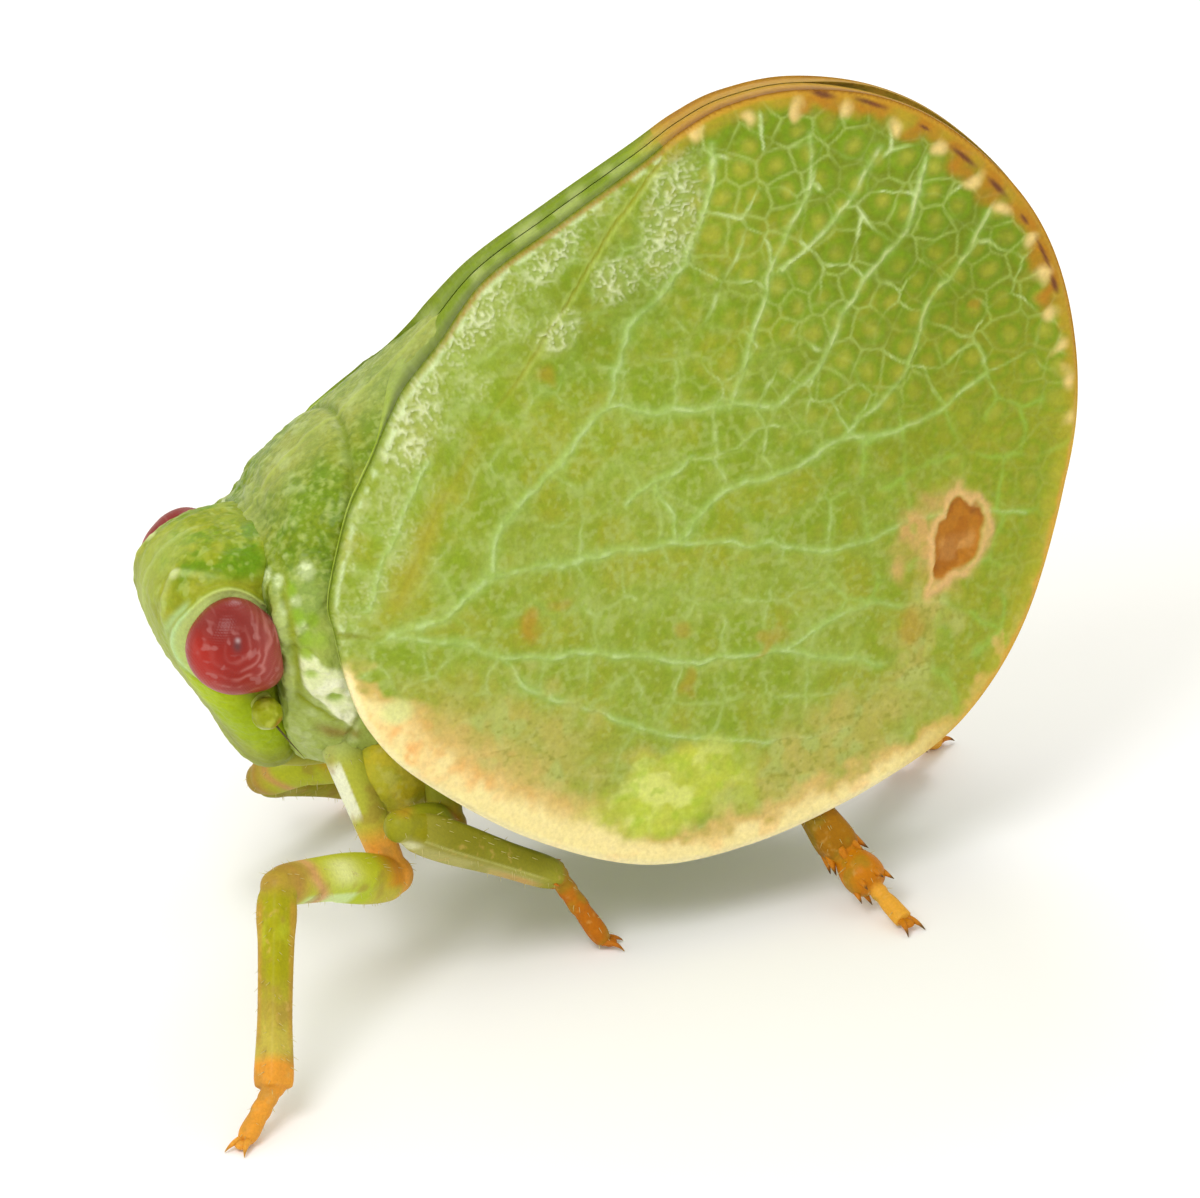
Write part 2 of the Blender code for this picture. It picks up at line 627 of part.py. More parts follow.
# Every segment is hollowed a little at its start to leave a gap round the one before it
hips = [limb(BEAK_START, BEAK_END, [(share, radius + GAP) for share, radius in BEAK])]
for word, hip, low, knee, ankle, toe, thick in LEGS:
    hind = word.startswith("hind")
    shin_shape = HIND_SHIN if hind else SHIN
    stout = thick * (FRONT_THIGH_WIDTH if word.startswith("front") else 1.0)
    finish("coxa_" + word, limb(hip, low, scaled(HIP, thick)), LIME)
    hips.append(limb(hip, low, scaled(HIP, thick, GAP)))
    thigh = limb(low, knee, scaled(THIGH, stout), bow=0.03)
    thigh = boolean(thigh, [limb(hip, low, scaled(HIP, thick, GAP))], "DIFFERENCE")
    finish("femur_" + word, thigh, OLIVE)
    shin = limb(knee, ankle, scaled(shin_shape, thick))
    shin = boolean(shin, apical_spines(knee, ankle, thick, 6 if hind else 1), "UNION")
    shin = boolean(shin, [limb(low, knee, scaled(THIGH, stout, GAP), bow=0.03)], "DIFFERENCE")
    finish("tibia_" + word, shin, OLIVE)
    sole = foot(ankle, toe, 0.56 * thick, HIND_FOOT if hind else FOOT)
    ankle_room = 3 * GAP if hind else GAP
    sole = boolean(sole, [limb(knee, ankle, scaled(shin_shape, thick, ankle_room))], "DIFFERENCE")
    finish("tarsus_" + word, sole, ORANGE)

# The underside of the thorax has a hollow for each hip
finish("thorax", boolean(chest, hips, "DIFFERENCE"), LIME)

# Stand the insect on the floor with the middle of its outline over the origin
low = Vector((9, 9, 9))
high = -low
for obj in made:
    for v in obj.data.vertices:
        low = Vector(map(min, low, v.co))
        high = Vector(map(max, high, v.co))
shift = Vector(((low.x + high.x) / 2, (low.y + high.y) / 2, low.z))
for obj in made:
    for v in obj.data.vertices:
        v.co = (v.co - shift) * MM
    obj.data.update()
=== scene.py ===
import math

import bpy
import numpy as np
from mathutils import Vector, Matrix
from mathutils.geometry import delaunay_2d_cdt


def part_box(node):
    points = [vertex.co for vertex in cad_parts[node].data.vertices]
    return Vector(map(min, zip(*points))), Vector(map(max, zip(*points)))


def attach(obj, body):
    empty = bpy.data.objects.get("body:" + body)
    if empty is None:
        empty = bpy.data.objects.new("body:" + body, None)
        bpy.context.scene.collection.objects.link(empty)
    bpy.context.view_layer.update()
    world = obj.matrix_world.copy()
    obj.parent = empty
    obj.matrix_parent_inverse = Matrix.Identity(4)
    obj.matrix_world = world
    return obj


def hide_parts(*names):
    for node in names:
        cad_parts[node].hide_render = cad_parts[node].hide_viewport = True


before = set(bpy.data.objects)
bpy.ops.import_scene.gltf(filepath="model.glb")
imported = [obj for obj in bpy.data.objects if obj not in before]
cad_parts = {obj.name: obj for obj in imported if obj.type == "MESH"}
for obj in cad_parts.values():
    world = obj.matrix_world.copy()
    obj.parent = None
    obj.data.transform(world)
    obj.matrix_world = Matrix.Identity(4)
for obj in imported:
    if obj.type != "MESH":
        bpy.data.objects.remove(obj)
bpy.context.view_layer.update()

# The insect's own measures are millimetres from the point under its wing roots, with the head
# towards -X and the floor at z = 0. The two eyes show where that point lies in the frame.
MM = 0.001
EYE_RADIUS = 0.2375
EYE_X = -1.975
eye_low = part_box("eye_left")[0]
far_eye_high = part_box("eye_right")[1]
PLACE = np.array([eye_low.x / MM - (EYE_X - EYE_RADIUS), (eye_low.y + far_eye_high.y) / 2 / MM, 0.0])

# The camera stands at the height and side from which the insect was seen: about sixteen degrees
# round from its left side towards its face, and looking down at twenty-six degrees.
AROUND = math.radians(16.1)
DOWN = math.radians(26.5)
ROLL = math.radians(2.1)
DISTANCE = 60.0
ASIDE = -0.025
RAISED = 1.40
level = Vector((math.cos(AROUND), -math.sin(AROUND), 0))
upright = Vector((math.sin(AROUND) * math.sin(DOWN), math.cos(AROUND) * math.sin(DOWN), math.cos(DOWN)))
ahead = Vector((math.sin(AROUND) * math.cos(DOWN), math.cos(AROUND) * math.cos(DOWN), -math.sin(DOWN)))
right = level * math.cos(ROLL) - upright * math.sin(ROLL)
top = level * math.sin(ROLL) + upright * math.cos(ROLL)
stand = right * ASIDE + top * RAISED - ahead * DISTANCE
lens = bpy.data.cameras.new("camera")
lens.lens = 360
lens.sensor_width = 36
lens.clip_start = 0.001
lens.clip_end = 10
camera = bpy.data.objects.new("camera", lens)
turn = Matrix((right, top, -ahead)).transposed().to_4x4()
camera.matrix_world = Matrix.Translation((stand + Vector(PLACE)) * MM) @ turn
bpy.context.scene.collection.objects.link(camera)
bpy.context.scene.camera = camera

# Soft studio light: a wide white dome, one broad panel over the head and a smaller one behind
# the wings that gives the folds of the wing their low shine.
world = bpy.data.worlds.new("dome")
world.use_nodes = True
world.node_tree.nodes["Background"].inputs["Color"].default_value = (1.0, 0.97, 0.87, 1)
world.node_tree.nodes["Background"].inputs["Strength"].default_value = 0.87
bpy.context.scene.world = world
bpy.context.scene.view_settings.view_transform = "Standard"
LAMP_AIM = (0.2, 0, 1.6)
LAMPS = [
    # name, place in mm, width in mm, power in W, colour
    ("panel over the head", (-9, -9, 16), 9, 0.00155, (0.97, 0.965, 0.98)),
    ("panel behind the wings", (4, 12, 15), 8, 0.00082, (0.97, 0.98, 1.0)),
]
for name, place, width, power, colour in LAMPS:
    lamp = bpy.data.lights.new(name, "AREA")
    lamp.shape = "DISK"
    lamp.size = width * MM
    lamp.energy = power
    lamp.color = colour
    stand_in = bpy.data.objects.new(name, lamp)
    aim = Vector(LAMP_AIM) - Vector(place)
    stand_in.rotation_euler = aim.to_track_quat("-Z", "Y").to_euler()
    stand_in.location = (Vector(place) + Vector(PLACE)) * MM
    bpy.context.scene.collection.objects.link(stand_in)

# The floor is one large sheet of matt white card, with the faint mottle of its fibres.
FLOOR_HALF = 0.6


def set_inputs(target, values):
    """Give a node's inputs their values."""
    for key, value in values.items():
        target.inputs[key].default_value = value
    return target


def node(tree, kind, values=None):
    """A new node with values in its inputs."""
    return set_inputs(tree.nodes.new(kind), values or {})


def wire(tree, *joints):
    """Join nodes; each joint is a node, its output, the next node and its input."""
    for giver, output, taker, place in joints:
        tree.links.new(giver.outputs[output], taker.inputs[place])


def floor_finish():
    mat = bpy.data.materials.new("white card")
    mat.use_nodes = True
    tree = mat.node_tree
    shader = set_inputs(tree.nodes["Principled BSDF"], {"Roughness": 0.95, "Specular IOR Level": 0.1})
    place = node(tree, "ShaderNodeTexCoord")
    fibres = node(tree, "ShaderNodeTexNoise", {"Scale": 900, "Detail": 4})
    ramp = node(tree, "ShaderNodeValToRGB")
    ramp.color_ramp.elements[0].color = (0.945, 0.95, 0.975, 1)
    ramp.color_ramp.elements[1].color = (0.965, 0.97, 0.995, 1)
    wire(tree, (place, "Object", fibres, "Vector"), (fibres, "Fac", ramp, "Fac"),
         (ramp, "Color", shader, "Base Color"))
    return mat


sheet = bpy.data.meshes.new("floor")
corners = ((-1, -1), (1, -1), (1, 1), (-1, 1))
sheet.from_pydata([(x * FLOOR_HALF, y * FLOOR_HALF, 0) for x, y in corners], [], [(0, 1, 2, 3)])
sheet.materials.append(floor_finish())
floor = bpy.data.objects.new("floor", sheet)
bpy.context.scene.collection.objects.link(floor)

# The forewings: two leaf-shaped, leathery plates folded like a roof over the body. They are one
# skin each, starting at the shoulder, green with raised mint veins, a net of fine cross-veins
# towards the tip, a cream front border and a brown rim marked with dark dashes.
WING_THICK = 0.06
WING_STEP = 0.0118
VEIN_STEP = 0.03
HEX_ROW = 0.866
WING_SPAN = 4.4
WING_CORNER = (-1.7, 0.3)
NET_LOW = (-1.6, 0.4)
NET_HIGH = (2.6, 4.3)
NET_TRIES = 420
CORNER_TUCK = 0.20
SLOPE_STEP = 0.004
WING_EDGE = [(-1.53, 2.14), (-1.43, 2.45), (-1.34, 2.64), (-1.23, 2.77), (-1.06, 2.97),
             (-0.81, 3.17), (-0.54, 3.45), (-0.14, 3.69), (0.28, 3.93), (0.51, 4.07),
             (0.75, 4.16), (1.10, 4.18), (1.52, 4.07), (1.89, 3.83), (2.25, 3.41),
             (2.44, 2.95), (2.50, 2.40), (2.41, 1.88), (2.13, 1.22), (1.75, 0.81),
             (1.28, 0.60), (0.60, 0.45), (0.00, 0.46), (-0.61, 0.74), (-1.16, 1.17),
             (-1.39, 1.46), (-1.48, 1.71), (-1.52, 1.97)]
RIDGE = (-0.85, 3.4)
RIDGE_DIRECTION = (0.82, 0.57)
LEAN_ALONG = (-1.7, -1.35, -0.5, 0.0, 0.66, 1.8, 2.3, 2.8)
LEAN_WIDTH = (0.82, 0.80, 0.69, 0.61, 0.46, 0.15, 0.08, 0.05)
TURN_ALONG = (-1.6, -1.3, -0.8, -0.45, -0.1, 0.5, 2.5)
TURN_DEPTH = (0.42, 0.40, 0.27, 0.40, 0.85, 1.0, 1.0)
WING_INNER = 0.048


def lean(x, z):
    """Distance of the wing's middle surface from the middle plane at side-view points."""
    px, pz = x - RIDGE[0], z - RIDGE[1]
    along = RIDGE_DIRECTION[0] * px + RIDGE_DIRECTION[1] * pz
    below = np.maximum(RIDGE_DIRECTION[1] * px - RIDGE_DIRECTION[0] * pz, 0)
    width = np.interp(along, LEAN_ALONG, LEAN_WIDTH)
    depth = np.interp(along, TURN_ALONG, TURN_DEPTH)
    return WING_INNER + (width - WING_INNER) * (1 - np.exp(-below / depth))


def rounded(points, steps, closed=False):
    """A smooth line through given points (Catmull-Rom), as an array."""
    pts = np.array(points, float)
    if closed:
        pts = np.vstack([pts[-1:], pts, pts[:2]])
    else:
        pts = np.vstack([pts[:1] * 2 - pts[1:2], pts, pts[-1:] * 2 - pts[-2:-1]])
    share = (np.arange(steps) / steps)[:, None]
    parts = []
    for a, b, c, d in zip(pts, pts[1:], pts[2:], pts[3:]):
        parts.append(0.5 * (2 * b + (c - a) * share + (2 * a - 5 * b + 4 * c - d) * share ** 2
                            + (3 * b - a - 3 * c + d) * share ** 3))
    line = np.vstack(parts)
    return line if closed else np.vstack([line, pts[-2:-1]])


def evenly(line, step, closed=False):
    """The same line with points at an even spacing."""
    pts = np.vstack([line, line[:1]]) if closed else line
    run = np.concatenate([[0], np.cumsum(np.linalg.norm(np.diff(pts, axis=0), axis=1))])
    count = max(int(round(run[-1] / step)), 2)
    at = np.linspace(0, run[-1], count + 1)
    if closed:
        at = at[:-1]
    return np.stack([np.interp(at, run, pts[:, k]) for k in range(pts.shape[1])], axis=1)


def tiles_of(points, tile):
    """Rows of the points that share a square tile, one array for each tile."""
    cell = np.floor(points / tile).astype(int)
    key = cell[:, 0] * 100003 + cell[:, 1]
    order = np.argsort(key, kind="stable")
    return np.split(order, np.flatnonzero(np.diff(key[order])) + 1)


def nearest(points, line, closed=False):
    """Distance from each point to a line, and how far along the line the nearest place is."""
    pts = np.vstack([line, line[:1]]) if closed else line
    a, d = pts[:-1], np.diff(pts, axis=0)
    size = np.maximum((d ** 2).sum(axis=1), 1e-12)
    run = np.concatenate([[0], np.cumsum(np.sqrt(size))])[:-1]
    gap, along = np.empty(len(points)), np.empty(len(points))
    for rows in tiles_of(points, 0.2):
        p = points[rows][:, None]
        centre = p.mean(axis=0)
        spread = np.sqrt(((p - centre) ** 2).sum(axis=2).max())
        reach = np.sqrt(((a + d / 2 - centre) ** 2).sum(axis=1))
        close = np.flatnonzero(reach <= reach.min() + 2 * spread + np.sqrt(size.max()))
        t = np.clip(((p - a[close]) * d[close]).sum(axis=2) / size[close], 0, 1)
        away = ((a[close] + d[close] * t[..., None] - p) ** 2).sum(axis=2)
        best = away.argmin(axis=1)
        k = np.arange(len(rows))
        gap[rows] = np.sqrt(away[k, best])
        along[rows] = run[close[best]] + t[k, best] * np.sqrt(size[close[best]])
    return gap, along


def hashed(cells, seed):
    """A repeatable number from 0 to 1 for each whole-number cell."""
    n = cells[..., 0] * 374761393 + cells[..., 1] * 668265263 + cells[..., 2] * 2147483647 + seed * 974711
    n = (n ^ (n >> 13)) * 1274126177
    n = n ^ (n >> 16)
    return (n & 0xFFFFFF) / float(0xFFFFFF)


def mottle(points, size, seed, octaves=3):
    """Smooth random variation from 0 to 1, with blotches of about the given size in mm."""
    if points.shape[1] == 2:
        points = np.column_stack([points, np.zeros(len(points))])
    total, weight, strength = np.zeros(len(points)), 0.0, 1.0
    for octave in range(octaves):
        q = points / size * 2 ** octave + 31.7 * octave
        base = np.floor(q).astype(np.int64)
        f = q - base
        f = f * f * (3 - 2 * f)
        value = np.zeros(len(points))
        for corner in range(8):
            step = np.array([corner & 1, corner >> 1 & 1, corner >> 2 & 1])
            share = np.prod(np.where(step == 1, f, 1 - f), axis=1)
            value += share * hashed(base + step, seed + octave)
        total += value * strength
        weight += strength
        strength *= 0.5
    return total / weight


def soft(value, low, high):
    """A soft step from 0 at low to 1 at high."""
    t = np.clip((value - low) / (high - low), 0, 1)
    return t * t * (3 - 2 * t)


def fade(value, low, high):
    """A soft step from 1 at low to 0 at high."""
    return 1 - soft(value, low, high)


def patches(points, size, seed, low, high, octaves=3):
    """Soft-edged blotches of about the given size: 1 where the variation is above high."""
    return soft(mottle(points, size, seed, octaves), low, high)


def blob(points, centre, reach, turn=0.0, edge=0.35):
    """1 inside a soft-edged oval and 0 outside it."""
    c, s = math.cos(math.radians(turn)), math.sin(math.radians(turn))
    q = points - np.array(centre)
    u = (q[:, 0] * c + q[:, 1] * s) / reach[0]
    v = (-q[:, 0] * s + q[:, 1] * c) / reach[1]
    return fade(np.hypot(u, v), 1 - edge, 1 + edge)


def blobs(points, edge, ovals):
    """1 inside any of several soft-edged ovals, each with its centre, reach and turn."""
    return np.max([blob(points, *oval, edge) for oval in ovals], axis=0)


def over(paint, colour, share):
    """Lay a colour over the paint with the given share at each point."""
    return paint + (np.array(colour) - paint) * np.clip(share, 0, 1)[:, None]


def coats(paint, layers):
    """Lay several colours over the paint, one after another."""
    for colour, share in layers:
        paint = over(paint, colour, share)
    return paint


def plain(colour, points):
    """The same colour at every point."""
    return np.tile(np.array(colour), (len(points), 1))


def bell(gap, width):
    """1 on a line or a spot, falling off softly over the width."""
    return np.exp(-(gap / width) ** 2)


def solid(name, verts, faces, paint, finish, roughness=None):
    """A closed mesh in mm, painted at its points, as a finished object in the frame's metres."""
    mesh = bpy.data.meshes.new(name)
    verts = (np.asarray(verts, float) + PLACE) * MM
    faces = np.asarray(faces)
    a, b, c = (verts[faces[:, k]] for k in range(3))
    if np.einsum("ij,ij->i", a, np.cross(b, c)).sum() < 0:
        faces = faces[:, ::-1]
    mesh.vertices.add(len(verts))
    mesh.vertices.foreach_set("co", verts.astype(np.float32).ravel())
    sides = faces.shape[1]
    mesh.loops.add(faces.size)
    mesh.loops.foreach_set("vertex_index", faces.astype(np.int32).ravel())
    mesh.polygons.add(len(faces))
    mesh.polygons.foreach_set("loop_start", np.arange(0, faces.size, sides, dtype=np.int32))
    mesh.update(calc_edges=True)
    mesh.polygons.foreach_set("use_smooth", np.ones(len(faces), bool))
    layer = mesh.attributes.new("paint", "FLOAT_COLOR", "POINT")
    rgba = np.column_stack([np.clip(paint, 0, 1), np.ones(len(verts))])
    layer.data.foreach_set("color", rgba.astype(np.float32).ravel())
    gloss = mesh.attributes.new("dull", "FLOAT", "POINT")
    dull = np.full(len(verts), 0.4) if roughness is None else roughness
    gloss.data.foreach_set("value", dull.astype(np.float32))
    mesh.validate()
    mesh.materials.append(finish)
    obj = bpy.data.objects.new(name, mesh)
    bpy.context.scene.collection.objects.link(obj)
    return obj


def painted_finish(name, grain, grain_depth, speck, soak, shine, coat=0.0):
    """Living cuticle: the paint of the piece with fine specks, a fine grain and soft gloss."""
    mat = bpy.data.materials.new(name)
    mat.use_nodes = True
    tree = mat.node_tree
    place = node(tree, "ShaderNodeTexCoord")
    paint = node(tree, "ShaderNodeAttribute")
    paint.attribute_name = "paint"
    dull = node(tree, "ShaderNodeAttribute")
    dull.attribute_name = "dull"
    fine = node(tree, "ShaderNodeTexNoise", {"Scale": grain, "Detail": 5, "Roughness": 0.6})
    spots = node(tree, "ShaderNodeTexVoronoi", {"Scale": grain * 0.55})
    bright = node(tree, "ShaderNodeMapRange", {"From Min": 0.3, "From Max": 0.7,
                                               "To Min": 1 - speck, "To Max": 1 + speck})
    tinted = node(tree, "ShaderNodeHueSaturation")
    rough = node(tree, "ShaderNodeMath", {1: 0.25})
    rough.operation = "MULTIPLY_ADD"
    mixed = node(tree, "ShaderNodeMath", {1: 0.6})
    mixed.operation = "MULTIPLY_ADD"
    bump = node(tree, "ShaderNodeBump", {"Strength": 0.6, "Distance": grain_depth * MM})
    shader = set_inputs(tree.nodes["Principled BSDF"], {
        "Subsurface Weight": soak, "Subsurface Radius": (0.9, 1.0, 0.35), "Subsurface Scale": 0.06 * MM,
        "Specular IOR Level": shine, "Coat Weight": coat, "Coat Roughness": 0.25})
    wire(tree, (place, "Object", fine, "Vector"), (place, "Object", spots, "Vector"),
         (fine, "Fac", bright, "Value"), (bright, "Result", tinted, "Value"),
         (paint, "Color", tinted, "Color"), (tinted, "Color", shader, "Base Color"),
         (fine, "Fac", rough, 0), (dull, "Fac", rough, 2), (rough, "Value", shader, "Roughness"),
         (spots, "Distance", mixed, 0), (fine, "Fac", mixed, 2), (mixed, "Value", bump, "Height"),
         (bump, "Normal", shader, "Normal"))
    return mat


MAIN_VEINS = [
    # half width in mm, then side-view points (x, z) from the wing's base outwards
    (0.013, [(-1.26, 1.93), (-0.94, 2.01), (-0.71, 2.15), (-0.34, 2.11), (0.27, 2.08)]),
    (0.010, [(0.27, 2.08), (0.55, 2.26), (0.96, 2.31), (1.18, 2.39), (1.55, 2.36), (2.00, 2.52)]),
    (0.008, [(0.27, 2.08), (0.72, 1.96), (1.20, 1.84), (1.70, 1.90), (2.16, 1.78)]),
    (0.011, [(-0.71, 2.15), (-0.64, 2.37), (-0.35, 2.52), (-0.02, 2.78), (0.24, 2.73),
             (0.46, 2.70), (0.67, 2.68), (0.84, 2.63), (0.96, 2.68), (1.11, 2.78), (1.19, 2.90)]),
    (0.009, [(1.19, 2.90), (1.34, 3.12), (1.43, 3.20), (1.55, 3.30), (1.63, 3.38), (1.69, 3.51),
             (1.74, 3.71)]),
    (0.008, [(2.06, 3.37), (1.94, 3.20), (1.85, 3.09), (1.77, 3.01), (1.69, 2.91), (1.62, 2.74),
             (1.45, 2.55), (1.18, 2.39)]),
    (0.009, [(1.50, 3.82), (1.42, 3.72), (1.33, 3.56), (1.17, 3.45), (0.96, 3.28)]),
    (0.009, [(-0.02, 2.78), (0.14, 3.14), (0.44, 3.42), (0.60, 3.72), (0.64, 3.98)]),
    (0.009, [(0.62, 2.67), (0.80, 3.06), (0.94, 3.40), (1.12, 3.68), (1.14, 3.96)]),
    (0.011, [(-1.26, 1.93), (-0.89, 1.84), (-0.69, 1.73), (-0.06, 1.59), (0.29, 1.46),
             (0.80, 1.40), (1.30, 1.22)]),
    (0.008, [(-0.69, 1.73), (-0.61, 1.58), (-0.33, 1.39), (0.16, 1.13), (0.60, 0.98), (1.10, 0.92)]),
    (0.007, [(0.80, 1.40), (1.20, 1.52), (1.70, 1.42)]),
    (0.007, [(-1.36, 2.10), (-1.20, 2.42), (-0.98, 2.74)]),
    (0.007, [(0.02, 2.30), (0.14, 2.36), (0.27, 2.40), (0.40, 2.48)]),
    (0.007, [(0.20, 2.36), (0.26, 2.22), (0.27, 2.08)]),
]
CLAVAL_SUTURE = [(-1.20, 2.12), (-0.95, 2.52), (-0.67, 2.77), (-0.31, 3.13), (-0.05, 3.45),
                 (0.14, 3.68), (0.38, 3.94)]
MARGIN_DASHES = [(1.22, 4.17), (1.47, 4.08), (1.75, 3.90), (1.95, 3.71), (2.12, 3.52),
                 (2.26, 3.32), (2.36, 3.11), (2.41, 2.94)]
LOOSE_SPOTS = ((0.57, 4.06), (0.83, 4.09), (1.09, 4.10), (2.37, 2.78), (2.41, 2.60), (2.43, 2.42),
               (2.43, 2.22))
PALE_SPOT = (0.036, 0.040)
TIP_MIDDLE = (1.0, 2.6)
SCAR_MIDDLE = (1.765, 1.765)
SCAR_BEARINGS = (-163, -132, -128, -122, -116, -94, -61, -38, -7, 33, 58, 79, 97, 111, 159, 197)
SCAR_REACHES = (0.104, 0.150, 0.205, 0.245, 0.224, 0.172, 0.161, 0.157, 0.154, 0.162, 0.168, 0.183,
                0.143, 0.098, 0.096, 0.104)
RUSTY_MARKS = [
    # place, reach, strength
    ((-0.54, 1.86), (0.042, 0.050), 0.65), ((-0.38, 1.93), (0.07, 0.035), 0.35),
    ((0.31, 1.62), (0.04, 0.04), 0.4), ((0.28, 1.38), (0.045, 0.035), 0.4),
    ((0.72, 1.46), (0.12, 0.03), 0.45), ((1.49, 1.39), (0.06, 0.10), 0.45),
    ((1.96, 2.93), (0.035, 0.035), 0.5), ((-0.32, 2.98), (0.06, 0.04), 0.4)]
LEAF = (0.265, 0.335, 0.026)
SPRING = (0.225, 0.335, 0.015)
GREY_GREEN = (0.32, 0.40, 0.065)
OLIVE_GOLD = (0.345, 0.34, 0.022)
PALE_MINT = (0.54, 0.68, 0.32)
CREAM = (0.88, 0.76, 0.36)
PEACH = (0.82, 0.50, 0.19)
TAN = (0.52, 0.42, 0.11)
RUST = (0.46, 0.19, 0.010)
MAROON = (0.13, 0.035, 0.02)
SUN_YELLOW = (0.56, 0.64, 0.06)

rim_line = evenly(rounded(WING_EDGE, 12, closed=True), WING_STEP, closed=True)
vein_lines = [(half, evenly(rounded(points, 10), VEIN_STEP)) for half, points in MAIN_VEINS]
suture_line = evenly(rounded(CLAVAL_SUTURE, 10), VEIN_STEP)


def inside_rim(points):
    """Which side-view points lie within the wing's outline."""
    inside = np.zeros(len(points), bool)
    x, z = points.T
    coarse = rim_line[::3]
    for (ax, az), (bx, bz) in zip(coarse, np.roll(coarse, -1, axis=0)):
        crossing = (az > z) != (bz > z)
        if az != bz:
            inside ^= crossing & (x < ax + (z - az) / (bz - az) * (bx - ax))
    return inside


def tipward(points):
    """0 at the wing's base, 1 towards the rear upper margin."""
    return soft(points[:, 0] * 0.75 + points[:, 1] * 0.5, 1.3, 2.8)


def net_seeds(size, seed, along_veins):
    """Centres of the net's cells: pairs on both sides of each main vein, then scattered ones."""
    rng = np.random.default_rng(seed)
    seeds = []

    def add(p, room):
        if not seeds or np.hypot(*(np.array(seeds) - p).T).min() > room:
            seeds.append(p)

    for line in [vein[1] for vein in vein_lines] if along_veins else []:
        for k in range(0, len(line) - 1, max(int(size * 0.95 / VEIN_STEP), 1)):
            ahead = (line[k + 1] - line[k]) / np.linalg.norm(line[k + 1] - line[k])
            across = np.array([-ahead[1], ahead[0]])
            for sign in (-1, 1):
                add(line[k] + ahead * rng.uniform(-0.1, 0.1) * size + across * sign * size * 0.42,
                    size * 0.55)
    tries = rng.uniform(NET_LOW, NET_HIGH, (int(NET_TRIES / size ** 2), 2))
    for p in tries[inside_rim(tries)]:
        add(p, size * 0.84)
    return np.array(seeds)


def net_distance(points, seeds, tile=0.3):
    """Distance to the nearest wall between cells, and to the middle of the cell."""
    wall, heart = np.empty(len(points)), np.empty(len(points))
    for rows in tiles_of(points, tile):
        p = points[rows]
        centre = p.mean(axis=0)
        near = seeds[np.argsort(((seeds - centre) ** 2).sum(axis=1))[:40]]
        away = ((p[:, None] - near) ** 2).sum(axis=2)
        first = away.argmin(axis=1)
        k = np.arange(len(rows))
        least = away[k, first]
        towards = ((near[None] - near[first][:, None]) ** 2).sum(axis=2)
        bisector = (away - least[:, None]) / (2 * np.sqrt(np.maximum(towards, 1e-9)))
        bisector[k, first] = 9
        wall[rows] = bisector.min(axis=1)
        heart[rows] = np.sqrt(least)
    return wall, heart


def wing_plan():
    """The fine outer face and the coarse inner face on the same rim, as flat triangle nets."""
    rim = [Vector(p) for p in rim_line]
    loop = [(k, (k + 1) % len(rim)) for k in range(len(rim))]
    rows = int(WING_SPAN / (WING_STEP * HEX_ROW))
    columns = int(WING_SPAN / WING_STEP)
    grid = []
    for row in range(rows):
        x = WING_CORNER[0] + (np.arange(columns) + 0.5 * (row % 2)) * WING_STEP
        z = WING_CORNER[1] + row * WING_STEP * HEX_ROW
        grid.append(np.column_stack([x, np.full(columns, z)]))
    grid = np.vstack(grid)
    grid = grid[inside_rim(grid)]
    room = nearest(grid, rim_line, closed=True)[0]
    fine = grid[room > WING_STEP * 0.6]
    picks = {}
    for p in grid[room > 0.05]:
        picks.setdefault((int(p[0] // 0.08), int(p[1] // 0.08)), p)
    return [delaunay_2d_cdt(rim + [Vector(p) for p in extra], loop, [], 1, 1e-5)
            for extra in (fine, picks.values())]


